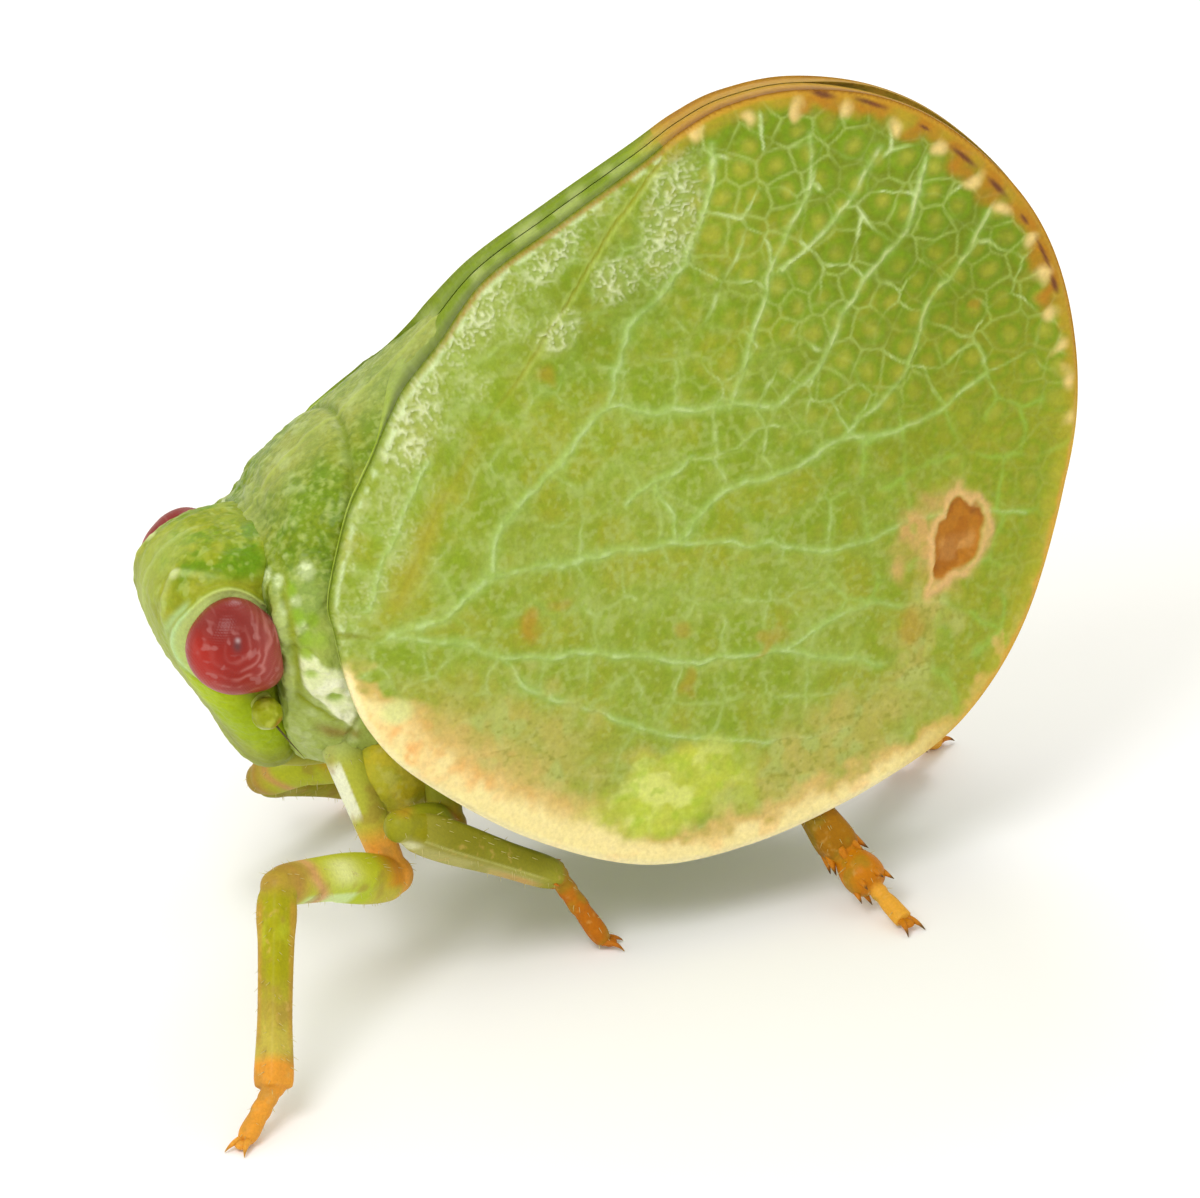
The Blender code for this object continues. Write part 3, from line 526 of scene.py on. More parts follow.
def wing_paint(points, wide_cells, small_cells, seed):
    """Colour, height of the relief and dullness of the outer face."""
    x, z = points.T
    sway = np.column_stack([mottle(points, 0.11, seed + 40, 2), mottle(points, 0.11, seed + 41, 2)]) - 0.5
    swayed = points + sway * 0.07
    wall = net_distance(swayed, wide_cells)[0]
    small_wall, small_heart = net_distance(points + sway * 0.04, small_cells)
    rim_gap = nearest(points, rim_line, closed=True)[0]
    suture_gap, suture_run = nearest(points + sway * 0.02, suture_line)
    main = np.full(len(points), 9.0)
    for half, line in vein_lines:
        gap, run = nearest(points + sway * 0.05, line)
        main = np.minimum(main, gap / (half * (1 - 0.3 * np.clip(run / 2.0, 0, 1))))
    broad = mottle(points, 0.55, seed)
    middle = mottle(points, 0.13, seed + 5)
    small = mottle(points, 0.05, seed + 9, 2)
    grain = mottle(points, 0.028, seed + 13, 2)
    to_tip = tipward(points)
    away_from_tip = 1 - to_tip
    corium = blob(points, (0.0, 3.30), (0.45, 0.30), 40, 0.8)

    # mottled green ground
    paint = plain(LEAF, points)
    rearward = soft(x, 0.9, 2.1) * fade(z, 2.6, 3.3)
    paint = coats(paint, [
        (SPRING, soft(broad, 0.38, 0.66) * 0.65),
        ((0.155, 0.215, 0.001), to_tip * 0.85),
        ((0.19, 0.27, 0.006), corium * 0.45),
        ((0.36, 0.36, 0.02), rearward * 0.55),
        (GREY_GREEN, soft(middle, 0.45, 0.7) * (0.12 + 0.63 * away_from_tip)),
        (OLIVE_GOLD, patches(points, 0.20, seed + 3, 0.50, 0.72) * 0.55),
        ((0.21, 0.34, 0.010), soft(small, 0.52, 0.78) * 0.30),
        ((0.40, 0.48, 0.14), soft(grain, 0.50, 0.76) * (0.12 + 0.38 * away_from_tip)),
        ((0.22, 0.32, 0.012), soft(1 - grain, 0.58, 0.80) * 0.35)])

    # small round cells with yellow hearts, inside the wide ones
    share = small_heart / SMALL_CELL
    rear_part = soft(x, 0.9, 1.4) * fade(z, 2.25, 2.75)
    in_tip = (0.12 + 0.88 * to_tip) * (1 - 0.45 * rear_part)
    small_net = bell(small_wall, 0.0075)
    patchy = patches(points, 0.22, seed + 17, 0.34, 0.60)
    paint = coats(paint, [
        ((0.17, 0.31, 0.004), in_tip * bell(share - 0.38, 0.11) * 0.60),
        ((0.43, 0.43, 0.045), in_tip * bell(share, 0.23) * (0.35 + 0.45 * soft(middle, 0.3, 0.6))),
        ((0.42, 0.55, 0.14),
         small_net * (0.15 + 0.50 * to_tip) * (1 - 0.7 * rear_part) * (0.35 + 0.65 * patchy))])

    # the wide net of cross-veins: bright and sharp near the tip, broken in the middle of the wing
    thick = 0.0065 + 0.004 * patches(points, 0.09, seed + 19, 0.45, 0.75, 2)
    net = bell(wall, thick)
    bright = patches(points, 0.16, seed + 7, 0.38, 0.60, 2)
    strength = (0.30 * bright + (0.15 + 0.35 * bright) * to_tip) * (1 - 0.75 * rear_part)
    halo = bell(wall, 0.035)
    vein = bell(main, 1.05) * (1 - 0.55 * rear_part)
    paint = coats(paint, [
        ((0.45, 0.59, 0.19), net * strength),
        ((0.27, 0.46, 0.04), bell(wall, 0.018) * bright * rear_part * 0.55),
        ((0.66, 0.76, 0.42),
         net * soft(bright, 0.6, 1.0) * soft(small, 0.48, 0.66) * (0.15 + 0.35 * to_tip)
         * (1 - rear_part)),
        ((0.37, 0.50, 0.13), halo * 0.22 * away_from_tip),
        ((0.35, 0.53, 0.13), bell(main, 2.9) * 0.46),
        (PALE_MINT, vein * (0.08 + 0.42 * soft(small, 0.40, 0.66)) * (1 - 0.5 * to_tip)),
        ((0.66, 0.72, 0.36), vein * to_tip * (0.12 + 0.38 * soft(small, 0.42, 0.60)))])

    # the claval suture: thin and yellow-green above, a soft orange streak below
    suture = bell(suture_gap, 0.010)
    low_end = fade(suture_run, 0.35, 0.9)
    upper_end = soft(suture_run, 0.9, 1.5)
    paint = coats(paint, [
        ((0.40, 0.34, 0.03),
         bell(suture_gap, 0.075) * (0.15 + 0.45 * low_end) * soft(middle, 0.2, 0.5)),
        ((0.33, 0.31, 0.01), suture * (0.25 + 0.40 * upper_end)),
        ((0.50, 0.60, 0.12), bell(suture_gap - 0.015, 0.008) * 0.50 * upper_end)])

    deep_cells = blob(points, (1.90, 2.90), (0.42, 0.46), 0, 0.8)
    paint = paint * (1 - deep_cells[:, None] * (0.14, 0.13, 0.36))
    paint = paint * (1 - corium[:, None] * (0.16, 0.11, 0.20))

    # whitish crumpled skin near the shoulder, and broken foil-like flecks over the clavus; the bright
    # lines along their creases are partly pale skin and partly painted glints
    crumple = blobs(points, 0.5, [
        ((-1.00, 2.92), (0.27, 0.13), 55), ((-0.62, 3.28), (0.30, 0.10), 45),
        ((-0.20, 3.55), (0.20, 0.08), 45), ((0.40, 3.66), (0.30, 0.13), 72),
        ((-0.22, 3.19), (0.12, 0.08), 30), ((0.10, 3.40), (0.12, 0.10), 30)])
    nearest_step = np.clip((suture_run / VEIN_STEP).astype(int), 0, len(suture_line) - 1)
    foil_at = suture_line[nearest_step]
    above_suture = soft((z - foil_at[:, 1]) - (x - foil_at[:, 0]), 0.0, 0.12)
    foil = np.maximum(crumple, 0.35 * above_suture * soft(middle, 0.35, 0.6))
    creases_with_glints = np.maximum(bell(np.abs(mottle(points, 0.055, seed + 21, 2) - 0.5), 0.045),
                         bell(np.abs(mottle(points, 0.028, seed + 22, 1) - 0.5), 0.070) * 0.8)
    paint = coats(paint, [
        ((0.40, 0.48, 0.14), foil * 0.40),
        # painted glints, partly pale skin, along the creases
        ((0.78, 0.84, 0.56), foil * creases_with_glints * 0.62)])

    # tan, peppered ground behind the front border
    tan = blobs(points + sway * 0.35, 0.6, [
        ((-0.72, 1.26), (0.56, 0.25), -28), ((0.05, 0.90), (0.35, 0.16), -10),
        ((1.00, 0.86), (0.55, 0.20), 22), ((1.52, 1.30), (0.22, 0.12), 60)])
    pepper = patches(points, 0.020, seed + 31, 0.70, 0.86, 1)
    paint = coats(paint, [
        (TAN, tan * (0.30 + 0.60 * middle)),
        ((0.40, 0.50, 0.14), tan * patches(points, 0.09, seed + 27, 0.52, 0.68, 2) * 0.55),
        ((0.25, 0.27, 0.03), pepper * (0.12 + 0.65 * tan) * 0.8)])

    # the yellow-green patch by the lower border
    patch = blob(points + sway * 0.25, (0.10, 0.80), (0.44, 0.20), 4, 0.45)
    paint = coats(paint, [
        (SUN_YELLOW, patch * (0.45 + 0.40 * middle)),
        ((0.72, 0.76, 0.24), patch * patches(points, 0.10, seed + 29, 0.45, 0.65) * 0.6),
        ((0.36, 0.50, 0.03), patch * soft(small, 0.55, 0.75) * 0.5)])

    # cream and peach front border, widest at the shoulder and thin round the rear
    ragged = (small - 0.5) * 0.07 + (middle - 0.5) * 0.10
    reach = np.interp(x, (-1.55, -1.2, -0.6, 0.1, 0.9, 1.6, 2.2, 2.6),
                      (0.17, 0.19, 0.20, 0.12, 0.13, 0.07, 0.035, 0.03))
    reach = reach * (1 - 0.62 * soft(z, 1.48, 1.70) * (x < -0.9))
    low_side = soft(-(z - (1.80 + 0.36 * (x + 1.5))), -0.06, 0.10)
    low_side = low_side * (z < 2.3)
    border = fade(rim_gap + ragged, reach * 0.50, reach * 1.20) * low_side
    border = border * (1 - 0.80 * soft(x, 1.25, 1.75))
    flush = fade(rim_gap + ragged * 1.6, reach * 0.9, reach * 2.1) * low_side
    blotch = np.maximum(blob(points + sway * 0.3, (-1.26, 1.42), (0.14, 0.060), -38, 0.9),
                        blob(points + sway * 0.3, (-0.90, 1.17), (0.30, 0.06), -32, 0.9) * 0.6)
    paint = coats(paint, [
        (PEACH, flush * (1 - 0.85 * patch) * 0.62 * (x < 2.0)),
        (CREAM, border * 0.92),
        ((0.86, 0.56, 0.22), border * soft(middle, 0.55, 0.72) * 0.55),
        ((0.93, 0.84, 0.50), border * fade(rim_gap, 0.01, 0.05) * 0.6),
        ((0.82, 0.40, 0.11), blotch * (0.20 + 0.60 * soft(small, 0.35, 0.7))),
        ((0.66, 0.70, 0.28), blob(points, (-1.25, 1.55), (0.08, 0.06), 0, 0.5) * 0.8)])

    # brown-gold rim of the wing tip with dark dashes on its inner edge and pale spots between them
    tip_side = soft(z, 1.9, 2.6) * soft(x, 0.25, 0.55)
    marks = np.array(MARGIN_DASHES)
    between, dashes, behind = np.zeros((3, len(points)))
    for k, mark in enumerate(marks):
        towards = marks[min(k + 1, len(marks) - 1)] - marks[max(k - 1, 0)]
        angle = math.degrees(math.atan2(towards[1], towards[0]))
        inwards = np.array(TIP_MIDDLE) - mark
        inwards = inwards / np.linalg.norm(inwards)
        dash = (0.060 + 0.030 * math.sin(k * 2.3), 0.011 + 0.003 * math.cos(k * 1.7))
        dashes = np.maximum(dashes, blob(points, mark + inwards * 0.026, dash, angle, 0.7))
        smudge = blob(points + sway * 0.2, mark + inwards * 0.046, (0.105, 0.052), angle, 1.0)
        behind = np.maximum(behind, smudge)
        if k + 1 < len(marks):
            spot = (mark + marks[k + 1]) / 2 + inwards * 0.075
            between = np.maximum(between, blob(points + sway * 0.1, spot, PALE_SPOT, angle, 0.8))
    for spot in LOOSE_SPOTS:
        between = np.maximum(between, blob(points + sway * 0.1, spot, PALE_SPOT, 0, 0.8))
    brown_band = fade(rim_gap + (small - 0.5) * 0.05, 0.040, 0.105) * tip_side
    rear = fade(rim_gap + (small - 0.5) * 0.03, 0.012, 0.050) * soft(x, 1.2, 2.0) * (1 - tip_side)
    glow = fade(rim_gap, 0.02, 0.16) * soft(x, 1.2, 2.0) * (1 - tip_side)
    upper = soft(z - 1.9 - 0.9 * (x + 1.5), -0.1, 0.1) * (x < 0.4)
    seam_rim = fade(rim_gap, 0.006, 0.020)
    seam_line = bell(rim_gap - 0.016, 0.008) * upper
    inner_line = bell(rim_gap - 0.034, 0.010) * upper * soft(small, 0.42, 0.55)
    paint = coats(paint, [
        ((0.46, 0.30, 0.018), brown_band * (0.55 + 0.30 * soft(x, 0.6, 1.2))),
        (RUST, behind * 0.90),
        ((0.86, 0.64, 0.26), between * 0.80),
        ((0.54, 0.29, 0.022), fade(rim_gap, 0.016, 0.032) * tip_side * 0.85),
        (MAROON, dashes * 0.9),
        ((0.30, 0.11, 0.008), fade(rim_gap, 0.003, 0.011) * tip_side * 0.8),
        ((0.50, 0.42, 0.03), glow * 0.55),
        ((0.66, 0.36, 0.035), rear * 0.90),
        ((0.15, 0.22, 0.004), seam_rim * upper * 0.85),
        ((0.34, 0.19, 0.012), seam_line * soft(z, 2.9, 3.4) * 0.85),
        ((0.60, 0.72, 0.40), inner_line * 0.7)])

    # an old scar with a pinkish edge, and a few small rusty marks
    scar_x, scar_z = x - SCAR_MIDDLE[0], z - SCAR_MIDDLE[1]
    torn = (mottle(points, 0.06, seed + 33, 2) - 0.5) * 0.35
    bearing = np.degrees(np.arctan2(scar_z, scar_x))
    scar_reach = np.interp(bearing, SCAR_BEARINGS, SCAR_REACHES, period=360)
    scar_gap = np.hypot(scar_x, scar_z) / scar_reach * 0.95 + torn
    pink = blob(points + sway * 0.3, (1.68, 1.74), (0.19, 0.24), 0, 0.5)
    paint = coats(paint, [
        ((0.62, 0.37, 0.13), pink * (0.45 + 0.4 * soft(small, 0.35, 0.6))),
        ((0.76, 0.46, 0.20), bell(scar_gap - 1.16, 0.17) * 0.75),
        ((0.44, 0.17, 0.012), fade(scar_gap, 0.90, 1.06)),
        ((0.56, 0.28, 0.07),
         fade(scar_gap, 0.6, 0.95) * soft(-scar_z, -0.02, 0.05) * soft(small, 0.40, 0.62) * 0.8),
        ((0.30, 0.085, 0.004),
         fade(scar_gap, 0.7, 1.0) * patches(points, 0.07, seed + 35, 0.52, 0.62, 1) * 0.4),
        ((0.28, 0.09, 0.01), bell(scar_gap - 0.92, 0.08) * soft(middle, 0.45, 0.7) * 0.8)])
    paint = coats(paint, [((0.44, 0.24, 0.02), blob(points + sway * 0.15, mark, reach, 20, 0.6) * share)
                          for mark, reach, share in RUSTY_MARKS])

    # the dark fold at the hinge
    fold = blob(points, (-1.44, 1.965), (0.085, 0.013), -14, 0.8)
    paint = over(paint, (0.20, 0.22, 0.005), fold * 0.7)

    # relief: raised veins, sunken suture, crumpled skin, pillowed cells, scar pit
    pillow = (1 - bell(wall, 0.05)) * 0.008 * (0.4 + 0.6 * to_tip)
    pillow = pillow + (1 - bell(small_wall, 0.03)) * 0.005 * in_tip
    height = 0.009 * vein + 0.007 * net * strength + pillow * (1 - vein)
    height = (height - (0.003 + 0.006 * upper_end) * suture + 0.014 * foil * creases_with_glints
              + 0.004 * (small - 0.5) + 0.003 * (grain - 0.5))
    height = height + 0.007 * bell(scar_gap - 1.12, 0.12) - 0.014 * fade(scar_gap, 0.75, 1.0)
    height = height * soft(rim_gap, 0.0, 0.03) + 0.006 * fade(rim_gap, 0.015, 0.04)
    dull = 0.36 + 0.12 * middle - 0.20 * foil + 0.06 * border
    return paint, height, dull


def tucked(x, z, side):
    """Heights with the front corner of the right wing a little lower, tucked behind the back."""
    return z - CORNER_TUCK * (side > 0) * soft(-x, 0.74, 1.08) * soft(z, 2.1, 2.6)


def half_thickness(gap):
    """Half the wing's thickness, which thins out towards the rim."""
    return WING_THICK / 2 * (0.35 + 0.65 * soft(gap, 0.0, 0.04))


def inner_paint(points, height, gap, seam, seed):
    """Colour of the face that looks at the body."""
    low_side = fade(height, 1.5, 1.9)
    brown = fade(gap, 0.04, 0.12) * soft(points[:, 0], 0.2, 0.5) * soft(height, 2.0, 2.6)
    ridge = seam * fade(points[:, 0], 0.1, 0.4)
    return coats(plain((0.40, 0.52, 0.08), points), [
        ((0.28, 0.40, 0.02), patches(points, 0.10, seed + 51, 0.42, 0.6) * 0.8),
        (CREAM, fade(gap, 0.03, 0.12) * low_side),
        ((0.50, 0.27, 0.035), brown * 0.90),
        ((0.15, 0.23, 0.004), ridge * 0.85),
        ((0.42, 0.50, 0.16), ridge * patches(points, 0.10, seed + 53, 0.45, 0.7, 1) * 0.7)])


def make_wing(name, side, outer, inner, seed):
    """One forewing: the dressed outer face, the plain inner face and the rim between them."""
    points = np.array([tuple(p) for p in outer[0]])
    below = np.array([tuple(p) for p in inner[0]])
    paint, height, dull = wing_paint(points, wide_net, small_net, seed)
    x, z = points[:, 0], tucked(points[:, 0], points[:, 1], side)
    slope_x = (lean(x + SLOPE_STEP, z) - lean(x - SLOPE_STEP, z)) / (2 * SLOPE_STEP)
    slope_z = (lean(x, z + SLOPE_STEP) - lean(x, z - SLOPE_STEP)) / (2 * SLOPE_STEP)
    rim_gap = nearest(points, rim_line, closed=True)[0]
    lift = half_thickness(rim_gap) + height * np.sqrt(1 + np.minimum(slope_x ** 2 + slope_z ** 2, 1.5))
    top_face = np.column_stack([x, side * (lean(x, z) + lift), z])
    # along the ridge the inner faces of the two wings meet at the middle plane
    x, z = below[:, 0], tucked(below[:, 0], below[:, 1], side)
    gap = nearest(below, rim_line, closed=True)[0]
    seam = fade(gap, 0.05, 0.14) * soft(x, -1.2, -0.9) * fade(x, 1.1, 1.6) * (z > 2.6)
    inner_y = (lean(x, z) - half_thickness(gap)) * (1 - seam) + 0.005 * seam
    low_face = np.column_stack([x, side * inner_y, z])
    k = np.arange(len(rim_line))
    after = (k + 1) % len(rim_line)
    faces = np.vstack([np.array(outer[2]), np.array([f[::-1] for f in inner[2]]) + len(points),
                       np.column_stack([after, k, k + len(points)]),
                       np.column_stack([after, k + len(points), after + len(points)])])
    shades = np.vstack([paint, inner_paint(below, z, gap, seam, seed)])
    dullness = np.concatenate([dull, np.full(len(below), 0.45)])
    wing = solid(name, np.vstack([top_face, low_face]), faces, shades, wing_finish, dullness)
    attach(wing, "root")
    return wing


WIDE_CELL = 0.26
SMALL_CELL = 0.160
wing_finish = painted_finish("wing membrane", 42000, 0.0045, 0.10, 0.25, 0.14, 0.05)
outer_plan, inner_plan = wing_plan()
wide_net = net_seeds(WIDE_CELL, 41, True)
small_net = net_seeds(SMALL_CELL, 43, False)
left_wing = make_wing("wing_left", -1, outer_plan, inner_plan, 3)
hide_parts("tegmen_left")
right_wing = make_wing("wing_right", 1, outer_plan, inner_plan, 61)
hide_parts("tegmen_right")

# The head: one capsule of thin cuticle with a blunt crown, a face that slopes back to the mouth
# and a socket with a fine pale rim round each eye. It is grown in one piece with its lower plate.
HEAD_LEVELS = [
    # z, front x, back x, half width, squareness
    (0.975, -1.73, -1.64, 0.02, 2.2), (0.985, -1.775, -1.61, 0.09, 2.2), (1.03, -1.83, -1.57, 0.155, 2.2),
    (1.10, -1.885, -1.56, 0.215, 2.2), (1.19, -1.935, -1.58, 0.27, 2.2), (1.30, -1.985, -1.62, 0.335, 2.4),
    (1.42, -2.050, -1.66, 0.39, 2.6), (1.56, -2.135, -1.68, 0.43, 2.6), (1.72, -2.22, -1.68, 0.47, 2.6),
    (1.88, -2.275, -1.66, 0.49, 2.7), (2.00, -2.290, -1.64, 0.48, 2.7), (2.10, -2.272, -1.62, 0.46, 2.6),
    (2.19, -2.21, -1.62, 0.42, 2.5), (2.27, -2.11, -1.62, 0.35, 2.4), (2.320, -1.98, -1.62, 0.25, 2.3),
    (2.340, -1.86, -1.70, 0.06, 2.2)]
EYE_PLACE = {-1: (EYE_X, -0.52, 1.91), 1: (EYE_X + 0.05, 0.52, 1.91)}
EYE_BULGE = 0.19
HEAD_STEP = 0.0090
HEAD_ROUND = 330
CROWN_EASING = 40
EYE_OUTLINE = [
    # angle in degrees from straight behind, counted upwards, and the eye's radius there
    (-180, 1.02), (-135, 1.02), (-105, 1.05), (-78, 1.10), (-50, 1.26), (-30, 1.18), (-14, 1.05),
    (0, 1.0), (17, 0.97), (45, 0.92), (70, 0.98), (90, 1.02), (115, 1.0), (135, 0.975), (160, 1.0)]
NECK_X = -1.770
FACE_GREEN = (0.265, 0.315, 0.014)
OLIVE_BLOTCH = (0.22, 0.24, 0.002)
CROWN_GREEN = (0.20, 0.275, 0.002)
VIVID_GREEN = (0.11, 0.25, 0.000)
CHEEK_LIME = (0.34, 0.46, 0.000)
PALE_LINE = (0.55, 0.66, 0.26)
eye_curve = rounded(EYE_OUTLINE + [(180, 1.02)], 12)


def ring_faces(rows, count):
    """Triangles of a form made of rings, closed by a pole at each end (poles come last)."""
    k = np.arange(rows - 1)[:, None] * count
    i = np.arange(count)[None]
    j = (i + 1) % count
    a, b, c, d = (k + i).ravel(), (k + j).ravel(), (k + count + j).ravel(), (k + count + i).ravel()
    first, last = rows * count, rows * count + 1
    i, j = i[0], j[0]
    end = (rows - 1) * count
    return np.vstack([np.column_stack([a, b, c]), np.column_stack([a, c, d]),
                      np.column_stack([j, i, np.full(count, first)]),
                      np.column_stack([end + i, end + j, np.full(count, last)])])


def square_round(count, power):
    """Points of a rounded square; one row for each power."""
    angle = np.linspace(0, 2 * math.pi, count, endpoint=False)
    c, s = np.cos(angle)[None], np.sin(angle)[None]
    p = 2 / np.asarray(power, float)[:, None]
    return np.sign(c) * np.abs(c) ** p, np.sign(s) * np.abs(s) ** p


def outward(verts, faces):
    """Unit normals at the points of a closed surface."""
    a, b, c = (verts[faces[:, k]] for k in range(3))
    normal = np.cross(b - a, c - a)
    if np.einsum("ij,ij->i", a - verts.mean(axis=0), normal).sum() < 0:
        normal = -normal
    total = np.zeros_like(verts)
    for k in range(3):
        np.add.at(total, faces[:, k], normal)
    return total / np.maximum(np.linalg.norm(total, axis=1), 1e-12)[:, None]


def eye_reach(points, side):
    """How far points lie from an eye's middle, seen from the side, as a share of its outline."""
    u, w = ((points - np.array(EYE_PLACE[side]))[:, (0, 2)] / EYE_RADIUS).T
    return np.hypot(u, w) / np.interp(np.degrees(np.arctan2(w, u)), eye_curve[:, 0], eye_curve[:, 1])


def one_sided(points):
    """The points of both sides laid over each other."""
    return np.column_stack([points[:, 0], np.abs(points[:, 1]), points[:, 2]])


def dab(points, centre, reach, edge=0.45):
    """1 inside a soft-edged oval blot on both sides of a body part and 0 outside it."""
    gap = np.linalg.norm((one_sided(points) - centre) / reach, axis=1)
    return fade(gap, 1 - edge, 1 + edge)


def streak(points, line, width):
    """1 on a line drawn on both sides of a body part, falling off over its width."""
    folded = one_sided(points)
    gap = np.full(len(points), 9.0)
    for a, b in zip(np.array(line, float), np.array(line, float)[1:]):
        t = np.clip(((folded - a) @ (b - a)) / ((b - a) @ (b - a)), 0, 1)
        gap = np.minimum(gap, np.linalg.norm(folded - a - t[:, None] * (b - a), axis=1))
    return bell(gap, width)


levels = evenly(rounded(HEAD_LEVELS, 10), HEAD_STEP)
c, s = square_round(HEAD_ROUND, levels[:, 4])
z, front, back, half = (levels[:, k:k + 1] for k in range(4))
head_points = np.dstack([(front + back) / 2 - (back - front) / 2 * c, half * s,
                         np.broadcast_to(z, c.shape)]).reshape(-1, 3)
head_points = np.vstack([head_points, [(levels[0, 1] + levels[0, 2]) / 2, 0, levels[0, 0] - 0.004],
                         [(levels[-1, 1] + levels[-1, 2]) / 2, 0, levels[-1, 0] + 0.004]])
head_faces = ring_faces(len(levels), HEAD_ROUND)
# ease the crown, where the levels close quickly
shell = head_points[:-2].reshape(len(levels), HEAD_ROUND, 3)
for turn in range(CROWN_EASING):
    shell[1:-1] = shell[1:-1] * 0.5 + (shell[2:] + shell[:-2]) * 0.25
head_points[-1] = shell[-1].mean(axis=0) + (0, 0, 0.002)
normals = outward(head_points, head_faces)
x, y, z = head_points.T
rim, socket, moat = np.zeros((3, len(head_points)))
for side in (-1, 1):
    reach = eye_reach(head_points, side)
    near_side = soft(side * y, 0.18, 0.34)
    rim = np.maximum(rim, near_side * bell(reach - 1.065, 0.036))
    moat = np.maximum(moat, near_side * bell(reach - 1.17, 0.045))
    socket = np.maximum(socket, near_side * fade(reach, 1.04, 1.08))
BROW = [(-2.19, 0.22, 2.20), (-2.10, 0.33, 2.235), (-1.99, 0.42, 2.235), (-1.87, 0.47, 2.20),
        (-1.75, 0.50, 2.12)]
FACE_EDGE = [(-2.19, 0.22, 2.20), (-2.27, 0.26, 2.06), (-2.275, 0.29, 1.88), (-2.19, 0.30, 1.66),
             (-2.07, 0.28, 1.45), (-1.97, 0.22, 1.28)]
brow = streak(head_points, BROW, 0.020)
face_edge = streak(head_points, FACE_EDGE, 0.020)
keel = bell(y, 0.018) * fade(x, -2.05, -1.95) * soft(z, 1.2, 1.4)
pits = mottle(head_points, 0.045, 71, 2)
lumps = mottle(head_points, 0.10, 73, 2)
relief = (0.012 * rim - 0.006 * moat + 0.013 * brow + 0.010 * face_edge + 0.008 * keel
          + 0.012 * (pits - 0.5) + 0.020 * (lumps - 0.5) * soft(z, 1.6, 2.1))
# the right half of the crown lies a little lower
relief = relief - 0.030 * soft(y, 0.05, 0.40) * soft(z, 2.05, 2.25)
head_points = head_points + normals * relief[:, None]

broad = mottle(head_points, 0.20, 81)
fine = mottle(head_points, 0.05, 83)
paint = plain(FACE_GREEN, head_points)
crown = soft(z - 0.25 * (x + 2.1), 2.14, 2.24)
paint = coats(paint, [
    ((0.34, 0.39, 0.055), soft(broad, 0.45, 0.7) * 0.6),
    (OLIVE_BLOTCH, patches(head_points, 0.09, 85, 0.50, 0.66, 2) * soft(z, 1.7, 1.9) * 0.75),
    (CROWN_GREEN, crown * 0.85),
    (VIVID_GREEN, crown * patches(head_points, 0.085, 83, 0.45, 0.68) * 0.75),
    ((0.30, 0.32, 0.008), crown * patches(head_points, 0.11, 89, 0.52, 0.68, 2) * 0.7),
    (VIVID_GREEN, dab(head_points, (-1.86, 0.36, 2.28), (0.12, 0.10, 0.09)) * 0.85)])
for blot in ((-2.236, 0.231, 2.12), (-2.25, 0.318, 2.011), (-2.12, 0.36, 2.19)):
    paint = over(paint, (0.33, 0.34, 0.02), dab(head_points, blot, (0.05, 0.05, 0.05)) * 0.75)
flecks = patches(head_points, 0.045, 87, 0.63, 0.74, 2) * soft(z, 1.6, 1.9)
grains = mottle(head_points, 0.030, 131, 2)
cheek = soft(np.abs(y), 0.20, 0.31) * fade(z + 0.9 * (x + 2.0), 1.60, 1.70)
face_side = fade(x, -2.16, -1.96) * soft(z, 1.45, 1.65)
mint_crescent = soft(-(x + 2.12), 0.0, 0.08) * rim + moat * soft(-(x + 2.14), 0.0, 0.05) * 0.8
paint = coats(paint, [
    ((0.44, 0.54, 0.16), flecks * 0.35),
    ((0.13, 0.20, 0.000), soft(grains, 0.45, 0.75) * (0.18 + 0.27 * crown) * soft(z, 1.5, 1.8)),
    ((0.42, 0.48, 0.06), soft(1 - grains, 0.48, 0.74) * (0.14 + 0.16 * crown) * soft(z, 1.5, 1.8)),
    (CHEEK_LIME, cheek * 0.95),
    ((0.42, 0.54, 0.002), cheek * soft(broad, 0.42, 0.62) * 0.6),
    ((0.22, 0.25, 0.02), bell(np.abs(y) - 0.16, 0.02) * fade(z, 1.35, 1.6) * 0.7),
    ((0.38, 0.45, 0.09), face_side * fade(np.abs(y), 0.10, 0.24) * 0.55),
    (PALE_LINE, np.clip(brow * 0.50 + face_edge * 0.35 + keel * 0.3, 0, 1)),
    ((0.60, 0.66, 0.32), dab(head_points, (-2.18, 0.224, 2.193), (0.03, 0.03, 0.03)) * 0.6),
    ((0.30, 0.33, 0.015), moat * soft(z, 1.5, 1.7) * 0.75),
    ((0.44, 0.54, 0.17), socket * soft(z, 1.62, 1.75) * 0.85),
    ((0.48, 0.58, 0.16), rim * 0.85),
    ((0.42, 0.62, 0.28), np.clip(mint_crescent, 0, 1) * 0.8),
    ((0.24, 0.25, 0.02), fade(z, 0.93, 1.05) * 0.7)])
cuticle_finish = painted_finish("head cuticle", 60000, 0.005, 0.09, 0.15, 0.12, 0.08)
head_skin = solid("head_skin", head_points, head_faces, paint, cuticle_finish, 0.32 + 0.12 * fine)
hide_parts("head", "clypeus")
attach(head_skin, "root")

# The compound eyes: two crimson domes of many small lenses, each seated in its socket and cut
# off straight behind. Wavy pink bands run round a dark middle spot with a painted pale glint.
LENS_STEP = 0.0135
SPOT = (-0.031, 0.094)
CRIMSON = (0.27, 0.008, 0.002)
DARK_CRIMSON = (0.18, 0.010, 0.006)
DUSKY_PINK = (0.50, 0.17, 0.15)
lens_finish = painted_finish("eye lens", 90000, 0.001, 0.04, 0.05, 0.25, 0.12)


def globe(rows, turn, share=1.0):
    """Points of a unit ball, row by row from its left pole to its right one, with the poles last."""
    polar = np.linspace(0, math.pi, rows + 2)[1:-1, None]
    unit = np.dstack([np.sin(polar) * np.cos(turn) * share,
                      np.broadcast_to(-np.cos(polar), (rows, turn.shape[1])),
                      np.sin(polar) * np.sin(turn) * share]).reshape(-1, 3)
    return np.vstack([unit, (0, -1, 0), (0, 1, 0)])


